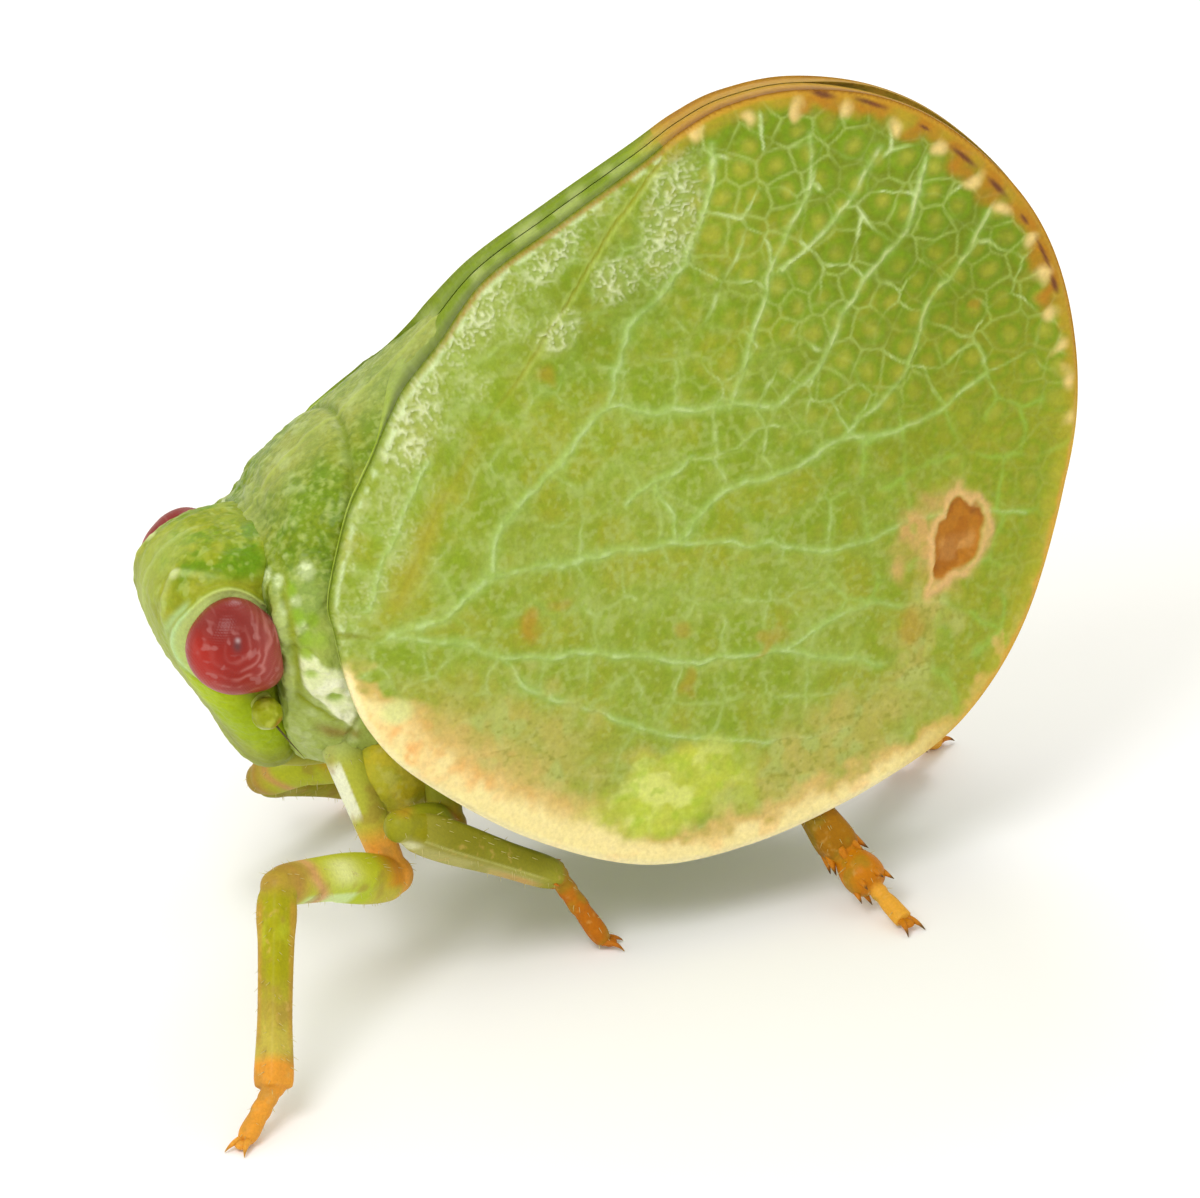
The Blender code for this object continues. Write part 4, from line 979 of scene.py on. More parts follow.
for side, word in ((-1, "left"), (1, "right")):
    rows, count = 170, 330
    turn = np.linspace(-math.pi, math.pi, count, endpoint=False)[None]
    unit = globe(rows, turn, np.interp(np.degrees(turn), eye_curve[:, 0], eye_curve[:, 1]))
    u, w = unit[:, 0] * EYE_RADIUS, unit[:, 2] * EYE_RADIUS
    # lenses packed in hexagons over the dome
    lens_gap = np.full(len(unit), 9.0)
    for near in (0, 1):
        row = np.floor(w / (LENS_STEP * HEX_ROW)) + near
        column = np.round(u / LENS_STEP - 0.5 * (row % 2))
        away = np.hypot(u - (column + 0.5 * (row % 2)) * LENS_STEP, w - row * LENS_STEP * HEX_ROW)
        lens_gap = np.minimum(lens_gap, away)
    dome = 0.0014 * (1 - (lens_gap / (LENS_STEP * 0.58)) ** 2)
    radii = np.array((EYE_RADIUS, EYE_BULGE, EYE_RADIUS)) + dome[:, None]
    points = np.array(EYE_PLACE[side]) + unit * radii
    # cut off straight at the neck, whose plane leans a little
    points[:, 0] = np.minimum(points[:, 0], NECK_X - 0.1076 * (points[:, 2] - 1.9))
    # the bands run round the spot that faces the side and the front
    p, q = u - SPOT[0], w - SPOT[1]
    flat = np.column_stack([u, w, u * 0])
    wavy = mottle(flat, 0.10, 91, 2)
    ripple = np.hypot(p, q * 0.92) + 0.075 * (wavy - 0.5) + 0.030 * (mottle(flat, 0.05, 97, 2) - 0.5)
    bands = bell(np.mod(ripple, 0.050) - 0.025, 0.0095)
    broken = patches(flat, 0.06, 93, 0.40, 0.62, 2)
    rear_low = soft(u * 0.9 - w * 0.55, -0.10, 0.12)
    paint = coats(plain(CRIMSON, unit), [
        ((0.38, 0.012, 0.003), soft(-u - 0.2 * w, 0.08, 0.20) * 0.8),
        (DARK_CRIMSON, soft(w + 0.2 * u, 0.0, 0.16) * 0.8),
        ((0.40, 0.10, 0.09), soft(u + 0.1 * w, -0.02, 0.18) * 0.45),
        (DUSKY_PINK,
         bands * (0.10 + 0.66 * rear_low) * (0.15 + 0.85 * broken) * soft(ripple, 0.02, 0.05)),
        ((0.48, 0.20, 0.19), patches(flat, 0.035, 95, 0.62, 0.78, 2) * 0.35),
        ((0.10, 0.03, 0.035), np.exp(-((p / 0.022) ** 2 + ((q + 0.012) / 0.030) ** 2)) * 0.85),
        # painted highlight: the pale glint beside the dark spot
        ((0.55, 0.42, 0.44), np.exp(-(((p - 0.006) / 0.012) ** 2 + ((q - 0.014) / 0.012) ** 2)) * 0.6),
        ((0.22, 0.012, 0.008), soft(np.linalg.norm(unit[:, (0, 2)], axis=1), 0.94, 1.0) * 0.5)])
    eye = solid("eye_lens_" + word, points, ring_faces(rows, count), paint, lens_finish,
                np.full(len(points), 0.28))
    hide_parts("eye_" + word)
    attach(eye, "root")

# The antennae: a short stalk in a ring-shaped socket under each eye, a swollen bulb set with
# round sense pits, and a dark bristle as fine as a hair.
BULB_RADII = np.array([0.074, 0.082, 0.078])


def tube(path, radii, count=24, flat=(1.0, 1.0), ridges=0, ridge=0.0):
    """A closed tube along a path with a radius at each point; ridges run along it."""
    path, radii = np.asarray(path, float), np.asarray(radii, float)
    ahead = np.gradient(path, axis=0)
    ahead /= np.linalg.norm(ahead, axis=1)[:, None]
    across = np.cross(ahead, (0.0, 0.0, 1.0) if abs(ahead[0, 2]) < 0.95 else (1.0, 0.0, 0.0))
    across /= np.linalg.norm(across, axis=1)[:, None]
    over_it = np.cross(across, ahead)
    angle = np.linspace(0, 2 * math.pi, count, endpoint=False)
    swell = 1 + ridge * np.cos(ridges * angle) if ridges else np.ones(count)
    ring = (across[:, None] * (np.cos(angle) * swell * flat[0])[None, :, None]
            + over_it[:, None] * (np.sin(angle) * swell * flat[1])[None, :, None])
    verts = (path[:, None] + ring * radii[:, None, None]).reshape(-1, 3)
    ends = np.vstack([path[0] - ahead[0] * radii[0] * 0.4, path[-1] + ahead[-1] * radii[-1] * 0.4])
    return np.vstack([verts, ends]), ring_faces(len(path), count)


def ball(centre, radii, rows=40, count=60):
    """An oval ball, with its poles to the left and right."""
    turn = np.linspace(0, 2 * math.pi, count, endpoint=False)[None]
    return np.array(centre) + globe(rows, turn) * radii, ring_faces(rows, count)


def joined(parts):
    """Several closed forms as one list of points and triangles."""
    verts, faces, total = [], [], 0
    for v, f in parts:
        verts.append(v)
        faces.append(f + total)
        total += len(v)
    return np.vstack(verts), np.vstack(faces)


def cone(base, tip, radius, count=10, rows=7, hook=(0, 0, 0)):
    """A tapering spine, claw or bristle, bent by the hook at half its length."""
    t = np.linspace(0, 1, rows)[:, None]
    base, tip, bend = np.array(base, float), np.array(tip, float), np.array(hook, float)
    path = base + (tip - base) * t + bend * (4 * t * (1 - t))
    return tube(path, radius * (1 - 0.93 * t[:, 0] ** 1.3), count)


for side, word in ((-1, "left"), (1, "right")):
    stalk = tube(np.linspace((-1.83, side * 0.40, 1.525), (-1.84, side * 0.51, 1.53), 12),
                 np.interp(np.linspace(0, 1, 12), (0, 0.2, 0.35, 0.6, 1),
                           (0.056, 0.054, 0.040, 0.044, 0.040)), 40)
    bulb, bulb_faces = ball((-1.84, side * 0.555, 1.53), BULB_RADII, 90, 140)
    away = outward(bulb, bulb_faces)
    warts = mottle(bulb, 0.030, 95, 1)
    bulb = bulb + away * (0.005 * soft(warts, 0.5, 0.8))[:, None]
    bristle = cone((-1.822, side * 0.585, 1.498), (-1.70, side * 0.73, 1.335), 0.0062, 12, 14,
                   (0.006, 0, -0.012))
    root = ball((-1.822, side * 0.587, 1.50), (0.017, 0.017, 0.017), 12, 20)
    verts, faces = joined([stalk, (bulb, bulb_faces), root, bristle])
    kind = np.repeat([0, 1, 2, 3], [len(stalk[0]), len(bulb), len(root[0]), len(bristle[0])])
    on_stalk, on_bulb, on_bristle = kind == 0, kind == 1, kind >= 2
    paint = plain((0.40, 0.44, 0.05), verts)
    blotch = mottle(verts, 0.06, 97)
    rust = np.linalg.norm(verts - (-1.80, side * 0.60, 1.49), axis=1)
    paint = coats(paint, [
        ((0.26, 0.30, 0.003), soft(blotch, 0.3, 0.6) * on_bulb),
        # painted highlight: the lower part of the bulb is painted paler
        ((0.52, 0.58, 0.26), fade(verts[:, 2], 1.462, 1.492) * on_bulb * 0.8),
        ((0.40, 0.18, 0.02), fade(rust, 0.025, 0.055) * on_bulb * 0.7),
        ((0.48, 0.54, 0.12), on_stalk * 0.8),
        ((0.07, 0.055, 0.02), on_bristle * 1.0)])
    antenna = solid("feeler_" + word, verts, faces, paint, cuticle_finish)
    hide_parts("antenna_" + word)
    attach(antenna, "root")

# The beak: a jointed sheath of cuticle folded back under the body between the front legs, with
# a dark tip.
beak_path = np.linspace((-1.66, 0, 1.00), (-0.86, 0, 0.93), 60)
share = np.linspace(0, 1, 60)
beak_radii = np.interp(share, (0, 0.15, 0.42, 0.45, 0.48, 0.8, 1),
                       (0.05, 0.066, 0.060, 0.050, 0.058, 0.045, 0.022))
verts, faces = tube(beak_path, beak_radii, 48, ridges=2, ridge=0.06)
paint = plain((0.38, 0.38, 0.05), verts)
paint = over(paint, (0.10, 0.07, 0.02), soft(verts[:, 0], -1.0, -0.88))
sheath = solid("beak_sheath", verts, faces, paint, cuticle_finish)
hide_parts("beak")
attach(sheath, "root")

# The thorax: one skin from the collar behind the head over the back and down the sides, green
# and olive with many pale specks, grooved where its plates meet, with a creamy wedge in front of
# the root of each forewing. Glints on its bumps and shoulders, a sheen along its crest and a
# shadow below each wedge are painted.
THORAX_STATIONS = [
    # x, z, rise above, drop below, half width, squareness; rings stand across a rising path
    (-1.90, 1.87, 0.30, 0.84, 0.44, 2.2), (-1.86, 1.88, 0.36, 0.92, 0.50, 2.2),
    (-1.72, 1.93, 0.435, 1.03, 0.58, 2.2),
    (-1.56, 1.98, 0.480, 1.09, 0.65, 2.15), (-1.40, 2.04, 0.54, 1.10, 0.68, 2.1),
    (-1.22, 2.11, 0.610, 1.06, 0.68, 2.1), (-1.02, 2.18, 0.675, 1.02, 0.68, 2.1),
    (-0.82, 2.25, 0.745, 0.98, 0.68, 2.15), (-0.62, 2.32, 0.83, 0.94, 0.64, 2.2),
    (-0.42, 2.39, 0.905, 0.88, 0.58, 2.2), (-0.28, 2.44, 0.90, 0.80, 0.50, 2.2)]
THORAX_PITCH = math.radians(20)
THORAX_STEP = 0.0112
THORAX_ROUND = 440
COLLAR = (np.array([-1.24, 0, 2.92]), np.array([0.96, 0, -0.277]))
SIDE_SEAM = (np.array([-1.56, 0, 2.05]), np.array([-0.733, 0, 0.680]))


def cross_rings(stations, pitch, count):
    """Rings that stand across a rising path, each with its own height above and below."""
    x, z, top, bottom, half = (stations[:, k:k + 1] for k in range(5))
    c, s = square_round(count, stations[:, 5])
    height = np.where(s > 0, top * s, bottom * s)
    points = np.dstack([x - height * math.sin(pitch), half * c, z + height * math.cos(pitch)])
    flat = points.reshape(-1, 3)
    return np.vstack([flat, points[0].mean(axis=0), points[-1].mean(axis=0)])


def under_wings(points, clear):
    """Keep a body form inside the roof of the forewings."""
    limit = np.maximum(lean(points[:, 0], points[:, 2]) - WING_THICK / 2 - clear, 0.004)
    kept = points.copy()
    kept[:, 1] = np.clip(points[:, 1], -limit, limit)
    return kept


stations = evenly(rounded(THORAX_STATIONS, 8), THORAX_STEP)
body = under_wings(cross_rings(stations, THORAX_PITCH, THORAX_ROUND), 0.035)
body_faces = ring_faces(len(stations), THORAX_ROUND)
NECK = np.array([-1.755, 0, 1.9])
NECK_WAY = np.array([-0.994, 0, -0.107])
past_neck = (body - NECK) @ NECK_WAY
body = body - np.outer(np.maximum(past_neck + 0.004, 0), NECK_WAY)
behind_neck = -((body - NECK) @ NECK_WAY)
drawn_back = soft(body[:, 2], 2.12, 2.30) * fade(behind_neck, 0.0, 0.24)
body = body + drawn_back[:, None] * (0.055, 0, -0.055)
normals = outward(body, body_faces)
collar_gap = (body - COLLAR[0]) @ COLLAR[1]
seam_gap = (body - SIDE_SEAM[0]) @ SIDE_SEAM[1]
above = soft(seam_gap, -0.02, 0.04)
groove = bell(collar_gap, 0.014) * above
side_groove = bell(seam_gap, 0.014)
mid_keel = bell(body[:, 1], 0.016) * above
EYE_BACK = [(-1.745, 0.56, 2.20), (-1.745, 0.61, 2.06), (-1.745, 0.62, 1.90), (-1.735, 0.60, 1.70),
            (-1.72, 0.54, 1.60)]
back_rim = streak(body, EYE_BACK, 0.050) * fade(behind_neck, 0.034, 0.050)
back_line = bell(behind_neck - 0.064, 0.018) * dab(body, (-1.70, 0.60, 1.90), (0.2, 0.2, 0.36))
LOBE_EDGE = [(-1.69, 0.53, 1.60), (-1.62, 0.52, 1.53), (-1.53, 0.53, 1.45), (-1.44, 0.54, 1.37)]
lobe_edge = streak(body, LOBE_EDGE, 0.016)
NOTUM_CREASE = [(-1.84, 0.26, 2.37), (-1.79, 0.36, 2.33), (-1.74, 0.44, 2.27), (-1.70, 0.52, 2.19)]
crease = streak(body, NOTUM_CREASE, 0.016)
sutures = np.zeros(len(body))
for at, lean_x in ((-1.36, -0.25), (-1.02, -0.2), (-0.70, -0.1)):
    line = body[:, 0] - at + lean_x * (body[:, 2] - 1.5)
    sutures += bell(line, 0.014) * fade(body[:, 2], 1.9, 2.1)
# the creamy wedge in front of the wing root, bounded below and in front by straight folds
bx, bz = body[:, 0], body[:, 2]
wedge = soft((bx + 1.643) * 0.784 + (bz - 1.649) * 0.620, -0.012, 0.014)
wedge = wedge * soft((bx + 1.680) * 0.985 + (bz - 1.860) * 0.173, -0.010, 0.014)
wedge_top = 1.85 - 1.0 * np.maximum(bx + 1.60, 0) + 0.12 * (mottle(body, 0.09, 137, 2) - 0.5)
wedge = wedge * fade(bz - wedge_top, -0.020, 0.030) * soft(np.abs(body[:, 1]), 0.40, 0.46)
wedge = wedge * fade(bx, -1.42, -1.36)
dents = np.max([dab(body, at, (0.038, 0.10, 0.030), 0.5)
                for at in ((-1.640, 0.62, 1.855), (-1.617, 0.65, 1.745), (-1.50, 0.60, 1.58))], axis=0)
root_swelling = dab(body, (-1.585, 0.62, 1.77), (0.10, 0.14, 0.16), 0.8)
pits = mottle(body, 0.042, 101, 2)
plates = mottle(body, 0.13, 103, 2)
bumps = patches(body, 0.055, 109, 0.50, 0.72, 2)
calm = 1 - 0.65 * soft(normals[:, 2], 0.45, 0.80)
relief = (-0.016 * groove - 0.010 * side_groove * above + 0.007 * mid_keel - 0.014 * np.clip(sutures, 0, 1)
          + (0.012 * (pits - 0.5) + 0.022 * (plates - 0.5) + 0.010 * bumps) * calm + 0.012 * back_rim
          - 0.008 * back_line - 0.010 * lobe_edge - 0.010 * crease + 0.034 * root_swelling
          + 0.010 * wedge - 0.012 * dents + 0.014 * above * soft(-collar_gap, 0.0, 0.05))
body = body + normals * relief[:, None]
body = under_wings(body, 0.012)
broad = mottle(body, 0.26, 105)
fine = mottle(body, 0.060, 107)
paint = plain((0.185, 0.255, 0.005), body)
# painted sheen: a pale band along the crest of the back, where the cuticle shines at a low angle
painted_crest_sheen = bell(body[:, 1], 0.20) * above
flank = bell(np.abs(body[:, 1]) - 0.36, 0.13) * above
specks = patches(body, 0.030, 111, 0.56, 0.74, 2)
grains = mottle(body, 0.022, 133, 2)
# painted glints: pale drops on the raised bumps
painted_bump_glints = bumps * patches(body, 0.20, 113, 0.45, 0.62, 2)
paint = coats(paint, [
    ((0.115, 0.215, 0.001), soft(fine, 0.44, 0.64) * 0.75),
    ((0.29, 0.30, 0.015), soft(broad, 0.45, 0.66) * 0.60),
    ((0.30, 0.37, 0.06), patches(body, 0.11, 117, 0.52, 0.68, 2) * 0.45),
    ((0.13, 0.25, 0.000), flank * patches(body, 0.12, 119, 0.35, 0.60, 2) * 0.70),
    ((0.38, 0.47, 0.12), specks * (0.20 + 0.28 * above)),
    ((0.09, 0.16, 0.000), soft(grains, 0.52, 0.72) * 0.50 * above),
    ((0.40, 0.48, 0.12), soft(1 - grains, 0.56, 0.76) * 0.35),
    # painted glints on the bumps
    ((0.50, 0.60, 0.24), painted_bump_glints * 0.42),
    ((0.42, 0.54, 0.15), dab(body, (-1.62, 0.58, 2.10), (0.13, 0.14, 0.16), 0.8) * 0.45),
    # painted sheen along the crest
    ((0.37, 0.42, 0.14), painted_crest_sheen * 0.42)])
# painted glints: small pale flecks on the shoulders, broken up by the grain
glint_breakup = 0.45 + 0.55 * soft(1 - grains, 0.40, 0.60)
for at, reach in (((-1.78, 0.42, 2.22), 0.030), ((-1.73, 0.50, 2.20), 0.030), ((-1.73, 0.57, 2.09), 0.028),
                  ((-1.67, 0.58, 2.12), 0.026), ((-1.66, 0.61, 1.99), 0.030), ((-1.60, 0.53, 2.25), 0.036)):
    paint = over(paint, (0.68, 0.78, 0.44),
                 dab(body, at, (reach, reach * 1.5, reach * 1.3)) * glint_breakup * 0.85)
for at, reach in (((-1.67, 0.60, 2.04), 0.034), ((-1.64, 0.61, 1.93), 0.038), ((-1.69, 0.52, 2.17), 0.030),
                  ((-1.60, 0.62, 2.02), 0.030), ((-1.57, 0.62, 1.92), 0.034)):
    paint = over(paint, (0.24, 0.42, 0.005), dab(body, at, (reach, 0.12, reach * 1.2), 0.6) * 0.75)
low_side = fade(seam_gap, -0.16, 0.02)
# painted shadow: a brown band below the creamy wedge, over the root of the front leg
painted_shadow_below_wedge = streak(body, [(-1.60, 0.46, 1.385), (-1.50, 0.47, 1.33), (-1.40, 0.50, 1.30)], 0.040)
paint = coats(paint, [
    ((0.42, 0.50, 0.11), low_side * 0.65),
    ((0.37, 0.46, 0.10), low_side * fade(body[:, 2], 1.35, 1.6) * 0.8),
    ((0.50, 0.58, 0.25), low_side * patches(body, 0.07, 121, 0.55, 0.70, 2) * 0.6),
    # painted shadow below the wedge
    ((0.26, 0.17, 0.03), painted_shadow_below_wedge * soft(body[:, 0], -1.62, -1.50) * 0.8)])
# the creamy wedge with its green dents, then the grooves, rims and folds
front_nick = streak(body, [(-1.80, 0.136, 2.42), (-1.83, 0.05, 2.36)], 0.010)
paint = coats(paint, [
    ((0.76, 0.82, 0.46), wedge * 0.95),
    ((0.90, 0.93, 0.68), wedge * patches(body, 0.06, 123, 0.42, 0.62, 2) * 0.85),
    ((0.30, 0.46, 0.02), dents * 0.85),
    ((0.15, 0.22, 0.002), groove * 0.7),
    ((0.28, 0.33, 0.03), np.clip(side_groove * above + sutures, 0, 1) * 0.5),
    ((0.26, 0.31, 0.012), np.clip(lobe_edge * 0.9 + back_line * 0.85 + crease * 0.6, 0, 1)),
    ((0.46, 0.56, 0.20), back_rim * 0.9),
    ((0.42, 0.50, 0.10), mid_keel * 0.5),
    ((0.16, 0.20, 0.01), front_nick * 0.8)])
folds = [(body, body_faces, paint)]
for side in (-1, 1):
    # the soft skin round the root of the middle leg
    skin, skin_faces = ball((-1.17, side * 0.40, 1.01), (0.22, 0.16, 0.25), 50, 80)
    skin = skin + outward(skin, skin_faces) * (0.02 * (mottle(skin, 0.07, 125, 2) - 0.5))[:, None]
    shade = coats(plain((0.54, 0.45, 0.020), skin), [
        ((0.42, 0.42, 0.03), patches(skin, 0.09, 127, 0.45, 0.65) * 0.7),
        ((0.60, 0.58, 0.14), patches(skin, 0.04, 129, 0.58, 0.72, 2) * 0.4)])
    folds.append((skin, skin_faces, shade))
verts, faces = joined([part[:2] for part in folds])
paint = np.vstack([part[2] for part in folds])
thorax_finish = painted_finish("thorax cuticle", 60000, 0.006, 0.10, 0.15, 0.13, 0.14)
thorax = solid("thorax_skin", verts, faces, paint, thorax_finish, 0.24 + 0.14 * mottle(verts, 0.1, 115))
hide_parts("pronotum", "mesonotum", "thorax", "tegula_left", "tegula_right")
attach(thorax, "root")

# The abdomen: seven overlapping rings of soft lime cuticle that narrow to the short tube at the
# tail end, hidden under the roof of the wings except from below and behind.
RINGS = 7
BELLY_ROUND = 240
TAIL_STEPS = 40
steps = 150
t = np.linspace(-0.03, 1, steps)
swell = np.sin(np.pi * np.minimum(0.5 + np.clip(t, 0, 1) * 0.62, 1.0)) ** 0.6
phase = np.mod(np.clip(t, 0, 0.999) * RINGS, 1)
overlap = 0.030 * phase ** 1.5 - 0.020 * bell(phase, 0.06)
stations = np.column_stack([-0.32 + 1.55 * t, 2.22 + 0.42 * t, 0.62 * swell + 0.03 + overlap,
                            0.78 * swell + 0.03 + overlap, 0.50 * swell + 0.01 + overlap,
                            np.full(steps, 2.1)])
belly = under_wings(cross_rings(stations, math.radians(15), BELLY_ROUND), 0.03)
belly_faces = ring_faces(steps, BELLY_ROUND)
tail_share = np.linspace(0, 1, TAIL_STEPS)
tail = tube(np.linspace((1.20, 0, 2.65), (1.52, 0, 2.70), TAIL_STEPS),
            np.interp(tail_share, (0, 0.3, 0.5, 0.85, 1), (0.10, 0.118, 0.11, 0.095, 0.065)), 60)
verts, faces = joined([(belly, belly_faces), tail])
paint = plain((0.42, 0.54, 0.10), verts)
ring_edge = np.concatenate([np.repeat(bell(phase - 0.93, 0.07), BELLY_ROUND),
                            np.zeros(2 + len(tail[0]))])
paint = coats(paint, [
    ((0.34, 0.42, 0.06), patches(verts, 0.12, 121, 0.4, 0.7) * 0.7),
    ((0.50, 0.36, 0.08), ring_edge * 0.6),
    ((0.40, 0.32, 0.07), np.repeat([0.0, 0.6], [len(belly), len(tail[0])]))])
abdomen = solid("abdomen_skin", verts, faces, paint, cuticle_finish)
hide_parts("abdomen", "tail")
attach(abdomen, "root")

# The legs: six jointed limbs of tough cuticle, each grown from the underside of the thorax as
# hip, thigh, keeled shin and a three-jointed foot with two claws and a soft pad between them.
LEG_VOXEL = 0.0085
HAIRS_PER_MM2 = 130
CLAW_SIDES = 12
SPINE_SIDES = 10
PAD, CLAW, SPINE = 0, 1, 2
LEGS = [
    # word, hip, thigh's start, knee, ankle, toe, radius, thigh width
    ("front_left", (-1.43, -0.35, 1.20), (-1.26, -0.63, 0.57), (-2.01, -1.25, 0.955),
     (-2.23, -1.85, 0.20), (-2.43, -2.03, 0.04), 0.092, 1.2),
    ("front_right", (-1.42, 0.42, 1.20), (-1.14, 0.44, 0.72), (-1.52, 0.86, 0.43),
     (-0.92, 1.20, 0.13), (-0.68, 1.32, 0.04), 0.092, 1.2),
    ("middle_left", (-0.98, -0.40, 1.22), (-0.96, -0.60, 0.78), (-1.28, -0.87, 0.96),
     (-0.43, -0.65, 0.42), (-0.22, -0.70, 0.045), 0.092, 1.0),
    ("middle_right", (-0.98, 0.40, 1.22), (-0.88, 0.56, 0.66), (-0.80, 1.12, 0.84),
     (-0.42, 1.30, 0.30), (-0.26, 1.40, 0.04), 0.092, 1.0),
    ("hind_left", (-0.50, -0.27, 1.45), (-0.42, -0.28, 1.12), (0.50, -0.22, 1.26),
     (1.06, -0.62, 0.255), (1.235, -1.02, 0.05), 0.095, 1.0),
    ("hind_right", (-0.50, 0.27, 1.45), (-0.42, 0.28, 1.12), (0.76, 0.15, 1.26),
     (1.66, 0.50, 0.26), (2.00, 0.78, 0.04), 0.095, 1.0),
]
HIP = [(0, 0.8), (0.15, 1.08), (0.5, 1.02), (0.85, 0.90), (1, 0.80)]
THIGH = [(0, 0.60), (0.08, 0.85), (0.35, 1.05), (0.7, 0.98), (0.93, 0.92), (1, 0.78)]
SHIN = [(0, 0.70), (0.06, 0.95), (0.16, 1.0), (0.3, 0.90), (0.65, 0.86), (0.93, 0.98), (1, 0.92)]
THIGH_LOBE = [(0, 0.85), (0.15, 1.10), (0.5, 1.12), (1, 0.85)]
MIDDLE_SHIN = [(0, 0.55), (0.05, 0.80), (0.13, 1.06), (0.32, 1.12), (0.65, 0.92), (0.9, 0.86), (1, 0.72)]
HIND_SHIN = [(0, 0.55), (0.06, 0.74), (0.4, 0.72), (0.75, 0.9), (0.93, 1.12), (1, 0.9)]
FOOT = [(0, 0.75), (0.10, 0.92), (0.24, 0.98), (0.29, 0.87), (0.34, 0.94), (0.48, 1.0),
        (0.53, 0.88), (0.60, 0.92), (0.85, 1.0), (1.0, 0.80)]
HIND_FOOT = [(0, 1.0), (0.10, 1.55), (0.26, 2.0), (0.40, 1.95), (0.49, 1.45), (0.53, 0.80),
             (0.60, 0.86), (0.66, 0.72), (0.76, 0.86), (1.0, 0.92)]
LEG_SHADES = {
    # hip, thigh's start, thigh, knee, upper shin, lower shin, ankle and foot
    "front": [(0.42, 0.46, 0.04), (0.62, 0.26, 0.01), (0.50, 0.53, 0.02), (0.46, 0.27, 0.05),
              (0.34, 0.32, 0.003), (0.50, 0.41, 0.06), (0.70, 0.30, 0.03)],
    "middle": [(0.38, 0.40, 0.03), (0.50, 0.22, 0.01), (0.28, 0.29, 0.01), (0.33, 0.33, 0.02),
               (0.24, 0.22, 0.002), (0.31, 0.30, 0.02), (0.46, 0.14, 0.002)],
    "hind": [(0.40, 0.42, 0.04), (0.36, 0.34, 0.02), (0.32, 0.35, 0.02), (0.36, 0.30, 0.02),
             (0.32, 0.27, 0.01), (0.33, 0.14, 0.001), (0.52, 0.18, 0.002)],
}
cuticle_leg = painted_finish("leg cuticle", 70000, 0.003, 0.10, 0.20, 0.10, 0.07)
foot_finish = painted_finish("foot cuticle", 80000, 0.003, 0.10, 0.25, 0.15, 0.1)


def segment(start, end, shape, width, bow=0.0, count=36, ridges=0, ridge=0.0, step=0.012):
    """One leg segment, from its shape in shares of its length and of the leg's radius."""
    start, end = np.array(start, float), np.array(end, float)
    length = np.linalg.norm(end - start)
    t = np.linspace(0, 1, max(int(length / step), 12))
    axis = (end - start) / length
    side = np.cross(axis, (0, 0, 1))
    up = np.cross(side / np.linalg.norm(side), axis)
    path = start + axis * (length * t)[:, None] + up * (bow * np.sin(math.pi * t))[:, None]
    smooth = evenly(rounded(shape, 8), 0.01)
    radii = np.interp(t, smooth[:, 0], smooth[:, 1]) * width
    return tube(path, radii, count, ridges=ridges, ridge=ridge)


def passing_object(name, verts, faces):
    """An object in mm that only carries modifiers for a moment."""
    mesh = bpy.data.meshes.new(name)
    mesh.from_pydata(verts.tolist(), [], faces.tolist())
    obj = bpy.data.objects.new(name, mesh)
    bpy.context.scene.collection.objects.link(obj)
    return obj


def result_of(obj):
    """The mesh that the object's modifiers make; the object itself goes."""
    graph = bpy.context.evaluated_depsgraph_get()
    result = bpy.data.meshes.new_from_object(obj.evaluated_get(graph))
    bpy.data.objects.remove(obj)
    return result


def fused(name, parts, voxel):
    """One closed skin round overlapping parts, as points and four-sided faces, still in mm."""
    obj = passing_object(name, *joined(parts))
    shell = obj.modifiers.new("shell", "REMESH")
    shell.mode = "VOXEL"
    shell.voxel_size = voxel
    ease = obj.modifiers.new("ease", "SMOOTH")
    ease.factor = 0.5
    ease.iterations = 3
    result = result_of(obj)
    points = np.empty(len(result.vertices) * 3)
    result.vertices.foreach_get("co", points)
    corners = np.empty(len(result.loops), np.int32)
    result.loops.foreach_get("vertex_index", corners)
    bpy.data.meshes.remove(result)
    return points.reshape(-1, 3), corners.reshape(-1, 4)


def hair_tree():
    """Geometry Nodes that stand fine hairs on a skin: short cones, tilted towards the foot."""
    tree = bpy.data.node_groups.new("leg hairs", "GeometryNodeTree")
    face = tree.interface
    face.new_socket("Geometry", in_out="OUTPUT", socket_type="NodeSocketGeometry")
    face.new_socket("Geometry", in_out="INPUT", socket_type="NodeSocketGeometry")
    for name, kind in (("Hairs per square mm", "NodeSocketFloat"), ("Hair length", "NodeSocketFloat"),
                       ("Hair radius", "NodeSocketFloat"), ("Seed", "NodeSocketInt"),
                       ("Hair finish", "NodeSocketMaterial")):
        face.new_socket(name, in_out="INPUT", socket_type=kind)
    given = node(tree, "NodeGroupInput")
    out = node(tree, "NodeGroupOutput")
    scatter = node(tree, "GeometryNodeDistributePointsOnFaces")
    hair = node(tree, "GeometryNodeMeshCone", {"Vertices": 5, "Radius Top": 0.0004})
    tilt = node(tree, "FunctionNodeRotateRotation", {"Rotate By": (0.75, 0.0, 0.0)})
    tilt.rotation_space = "LOCAL"
    vary = node(tree, "FunctionNodeRandomValue", {"Min": 0.6, "Max": 1.2})
    stand = node(tree, "GeometryNodeInstanceOnPoints")
    real = node(tree, "GeometryNodeRealizeInstances")
    dress = node(tree, "GeometryNodeSetMaterial")
    wire(tree, (given, "Geometry", scatter, "Mesh"), (given, "Hairs per square mm", scatter, "Density"),
         (given, "Seed", scatter, "Seed"), (given, "Hair radius", hair, "Radius Bottom"),
         (given, "Hair length", hair, "Depth"), (scatter, "Points", stand, "Points"),
         (hair, "Mesh", stand, "Instance"), (scatter, "Rotation", tilt, "Rotation"),
         (tilt, "Rotation", stand, "Rotation"), (given, "Seed", vary, "Seed"),
         (vary, 1, stand, "Scale"), (stand, "Instances", real, "Geometry"),
         (real, "Geometry", dress, "Geometry"), (given, "Hair finish", dress, "Material"),
         (dress, "Geometry", out, "Geometry"))
    return tree


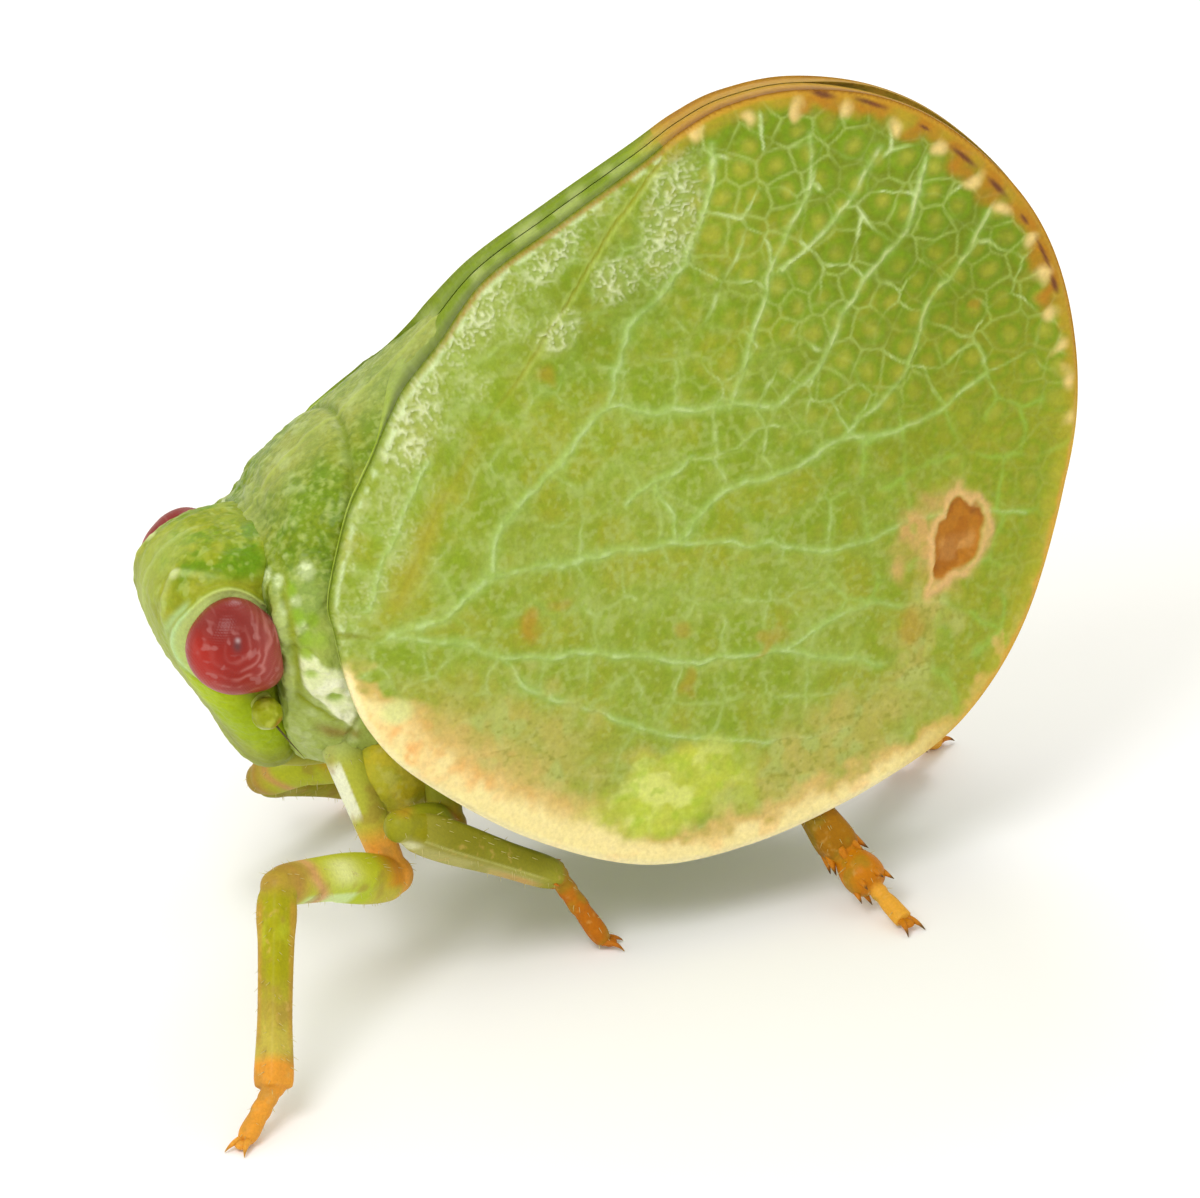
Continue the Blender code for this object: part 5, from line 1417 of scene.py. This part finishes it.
def hairs_on(name, verts, faces, per_area, length, radius, seed):
    """Hairs standing on a skin given in mm, as points and faces in mm."""
    obj = passing_object(name, verts, faces)
    grow = obj.modifiers.new("hairs", "NODES")
    grow.node_group = hair_nodes
    values = {"Hairs per square mm": per_area, "Hair length": length, "Hair radius": radius,
              "Seed": seed, "Hair finish": hair_finish}
    for item in hair_nodes.interface.items_tree:
        if item.item_type == "SOCKET" and item.in_out == "INPUT" and item.name in values:
            grow[item.identifier] = values[item.name]
    result = result_of(obj)
    points = np.array([tuple(v.co) for v in result.vertices])
    polygons = [tuple(p.vertices) for p in result.polygons]
    bpy.data.meshes.remove(result)
    three = []
    for p in polygons:
        three += [(p[0], a, b) for a, b in zip(p[1:], p[2:])]
    return points, np.array(three)


def sideways(axis):
    """Two unit directions across an axis."""
    out_a = np.cross(axis, (0, 0, 1))
    out_a /= np.linalg.norm(out_a)
    return out_a, np.cross(axis, out_a)


def spine_ring(centre, axis, count, first_turn, away, reach, flare, radius):
    """Spines in a ring round an axis, pointing forwards and a little outwards."""
    out_a, out_b = sideways(axis)
    spines = []
    for k in range(count):
        turn = 2 * math.pi * k / count + first_turn
        out = out_a * math.cos(turn) + out_b * math.sin(turn)
        base = centre + out * away
        spines.append(cone(base, base + axis * reach + out * flare, radius, SPINE_SIDES, 8))
    return spines


def along_cone(count, sides):
    """How far each point of a cone lies along it, with its two poles last."""
    return np.concatenate([np.repeat(np.linspace(0, 1, (count - 2) // sides), sides), [0, 1]])


hair_nodes = hair_tree()
hair_finish = painted_finish("leg hair", 90000, 0.001, 0.03, 0.0, 0.4)
shin_face = np.array((0.9608, -0.2773, 0.0))
for number, (word, hip, low, knee, ankle, toe, radius, stout) in enumerate(LEGS):
    place = word.split("_")[0]
    front, middle, hind = (place == kind for kind in ("front", "middle", "hind"))
    hip, low, knee, ankle, toe = (np.array(p, float) for p in (hip, low, knee, ankle, toe))
    shape = {"front": SHIN, "middle": MIDDLE_SHIN, "hind": HIND_SHIN}[place]
    hip_top = hip + (hip - low) / np.linalg.norm(hip - low) * 0.10
    parts = [segment(hip_top, low, HIP, radius),
             segment(low, knee, THIGH, radius * stout, bow=0.015, ridges=4, ridge=0.03),
             segment(knee, ankle, shape, radius, ridges=4, ridge=0.09),
             segment(ankle, toe, HIND_FOOT if hind else FOOT, radius * 0.56, step=0.006),
             ball(low, np.full(3, radius * 0.98 * min(stout, 1.1)), 20, 30),
             ball(knee, np.full(3, radius * 0.90), 20, 30),
             ball(ankle, np.full(3, radius * (0.62 if not hind else 0.8)), 20, 30)]
    if front:
        parts.append(segment(low + np.array([0, 0, -0.030]),
                             low + (knee - low) * 0.50 + np.array([0, 0, -0.035]), THIGH_LOBE, radius))
    skin, skin_faces = fused(word, parts, LEG_VOXEL)
    skin[:, 2] = np.maximum(skin[:, 2], 0.0)

    # colour runs along the leg: each point takes its shade from the nearest segment
    axes = [(hip_top, low), (low, knee), (knee, ankle), (ankle, toe)]
    gaps, shares = [], []
    for a, b in axes:
        t = np.clip(((skin - a) @ (b - a)) / ((b - a) @ (b - a)), 0, 1)
        gaps.append(np.linalg.norm(skin - (a + t[:, None] * (b - a)), axis=1))
        shares.append(t)
    part = np.argmin(gaps, axis=0)
    run = part + np.choose(part, shares)
    foot_from = 2.84 if front else 2.97
    stops = (0.0, 0.75, 1.0, 1.12, 1.30, 1.80, 1.95, 2.08, 2.45, 2.78, foot_from, foot_from + 0.06, 4.0)
    shades = LEG_SHADES[place]
    order = (0, 0, 1, 1, 2, 2, 3, 4, 4, 5, 5, 6, 6)
    paint = np.column_stack([np.interp(run, stops, [shades[k][c] for k in order]) for c in range(3)])
    patch = mottle(skin, 0.10, 131 + number)
    fine = mottle(skin, 0.03, 141 + number)
    below_axis = np.interp(run, (1, 2), (low[2], knee[2])) - skin[:, 2]
    low_share = soft(below_axis, -0.06, 0.06)
    from_thigh = skin - low - (run - 1)[:, None] * (knee - low)
    outer_face = from_thigh @ np.array((-0.28, 0.96 * np.sign(low[1]), 0))
    on_thigh = soft(run, 1.18, 1.30) * fade(run, 1.80, 1.90) * front * soft(outer_face, -0.04, 0.01)
    pocket = soft(below_axis, 0.025, 0.048) * soft(run, 1.40, 1.47)
    lower_lobe = soft(below_axis, 0.00, 0.05) * soft(run, 0.90, 1.0) * fade(run, 1.26, 1.36) * front
    side = -1 if word.endswith("left") else 1
    from_axis = skin - hip_top - run[:, None] * (low - hip_top)
    to_front = (from_axis @ shin_face) / radius
    mustard = fade(run, 0.60, 0.80) * front
    white_strip = soft(-to_front, 0.22, 0.34) * soft(run, 0.20, 0.27) * fade(run, 0.55, 0.63)
    white_strip = white_strip * soft(from_axis[:, 1] * side, -0.03, 0.0)
    under = soft(knee[2] + (ankle[2] - knee[2]) * (run - 2) - skin[:, 2], 0.0, 0.06) * (run > 2)
    two_tone = middle * fade(run, 2.8, 2.95)
    ridge_line = bell(under - 0.12, 0.10) * (run > 2.1)
    paint = coats(paint, [
        ((0.52, 0.60, 0.03), bell(run - 2.26, 0.07) * front * soft(patch, 0.4, 0.6) * 0.6),
        ((0.76, 0.80, 0.34), on_thigh * (1 - low_share) * bell(run - 1.58, 0.12) * 0.85),
        ((0.44, 0.56, 0.02), on_thigh * low_share * 0.7),
        ((0.62, 0.78, 0.34), on_thigh * pocket * 0.9),
        ((0.66, 0.33, 0.15), bell(run - 1.82 + 0.10 * low_share, 0.055) * front * 0.85),
        ((0.50, 0.48, 0.05), lower_lobe * 0.85),
        ((0.46, 0.46, 0.05), mustard * (0.55 + 0.35 * soft(patch, 0.4, 0.6))),
        ((0.76, 0.34, 0.05), soft(run, 0.60, 0.80) * fade(run, 1.0, 1.1) * front * 0.9),
        ((0.40, 0.47, 0.13), fade(run, 0.12, 0.30) * front * 0.9),
        ((0.80, 0.82, 0.62), white_strip * (word == "front_left") * 0.95),
        ((0.48, 0.45, 0.15), under * two_tone * 0.85),
        ((0.56, 0.56, 0.20), ridge_line * two_tone * 0.5),
        ((0.62, 0.30, 0.10), soft(under, 0.6, 1.0) * two_tone * soft(run, 2.45, 2.8) * 0.6),
        ((0.20, 0.19, 0.003), fade(under, 0.0, 0.1) * two_tone * soft(run, 2.1, 2.3) * 0.7)])
    if word == "middle_left":
        paint = over(paint, (0.50, 0.24, 0.02),
                     dab(skin, (-1.22, 0.86, 1.06), (0.08, 0.12, 0.035), 0.7) * 0.7)
    from_shin = (skin - knee - (run - 2)[:, None] * (ankle - knee)) @ shin_face
    keels = soft(np.abs(from_shin), radius * 0.60, radius * 0.84)
    keels = keels * soft(run, 2.04, 2.12) * fade(run, 2.70, 2.85) * (word == "front_left")
    sclerite = dab(skin, (-1.26, 0.93, 0.86), (0.060, 0.10, 0.030), 0.6) * (word == "middle_left")
    paint = coats(paint, [
        ((0.50, 0.25, 0.04), keels * 0.60),
        ((0.74, 0.74, 0.46), sclerite * 0.8),
        ((0.74, 0.38, 0.04), soft(run, 3.50, 3.58) * hind * 0.85),
        (np.array(shades[3]) * 0.75, soft(patch, 0.5, 0.75) * 0.5),
        ((0.66, 0.42, 0.12), soft(fine, 0.62, 0.8) * (run > 2.1) * 0.35)])
    # painted shade: the right front leg, standing in shade under the body, is darkened all over
    if word == "front_right":
        paint = paint * (0.84, 0.86, 0.6)
    leg = solid("leg_" + word, skin, skin_faces, paint, cuticle_leg, 0.34 + 0.12 * fine)
    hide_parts("coxa_" + word, "femur_" + word, "tibia_" + word, "tarsus_" + word)
    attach(leg, "root")

    # claws, the pad between them and the spines round the end of the shin
    axis = (toe - ankle) / np.linalg.norm(toe - ankle)
    flat = np.array([axis[0], axis[1], 0]) / np.hypot(axis[0], axis[1])
    across = np.array([-flat[1], flat[0], 0])
    pieces = []
    for sign in (-1, 1):
        tip = toe + flat * 0.098 + across * (sign * 0.056)
        tip[2] = 0.008
        pieces.append(cone(toe + across * sign * 0.016 - flat * 0.01, tip, 0.021, CLAW_SIDES, 9,
                           flat * 0.008 + np.array([0, 0, 0.014])))
    pieces.append(ball(toe + flat * 0.03 + np.array([0, 0, -0.010]), (0.036, 0.034, 0.022), 16, 24))
    shin_axis = (ankle - knee) / np.linalg.norm(ankle - knee)
    shin_end = ankle - shin_axis * 0.05
    if hind:
        pieces += spine_ring(shin_end, shin_axis, 7, 0.4, radius * 0.85, 0.105, 0.03675, 0.024)
        foot_middle = ankle + (toe - ankle) * 0.42
        pieces += spine_ring(foot_middle, axis, 6, 0.5, radius * 0.868, 0.075, 0.02, 0.018)
    else:
        pieces += spine_ring(shin_end, shin_axis, 3, 0.4, radius * 0.75, 0.035, 0.01225, 0.010)
    tones = [CLAW, CLAW, PAD] + [SPINE] * (len(pieces) - 3)
    verts, faces = joined(pieces)
    sizes = [len(piece[0]) for piece in pieces]
    tone = np.repeat(tones, sizes)
    verts[:, 2] = np.maximum(verts[:, 2], 0.0)
    paint = plain(shades[6], verts)
    sides = {CLAW: CLAW_SIDES, SPINE: SPINE_SIDES}
    length_share = np.concatenate([along_cone(size, sides[kind]) if kind != PAD else np.zeros(size)
                                   for size, kind in zip(sizes, tones)])
    darkest = 0.95 if hind else 0.4
    paint = over(paint, (0.05, 0.02, 0.01), soft(length_share, 0.55, 0.85) * (tone != PAD) * darkest)
    claws = solid("claws_" + word, verts, faces, paint, foot_finish)
    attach(claws, "root")
    verts, faces = hairs_on("hairs_" + word, skin, skin_faces, HAIRS_PER_MM2, 0.030, 0.0018, 7 + number)
    verts[:, 2] = np.maximum(verts[:, 2], 0.0)
    tint = plain((0.60, 0.54, 0.22), verts)
    hairs = solid("hairs_" + word, verts, faces, tint, hair_finish)
    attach(hairs, "root")
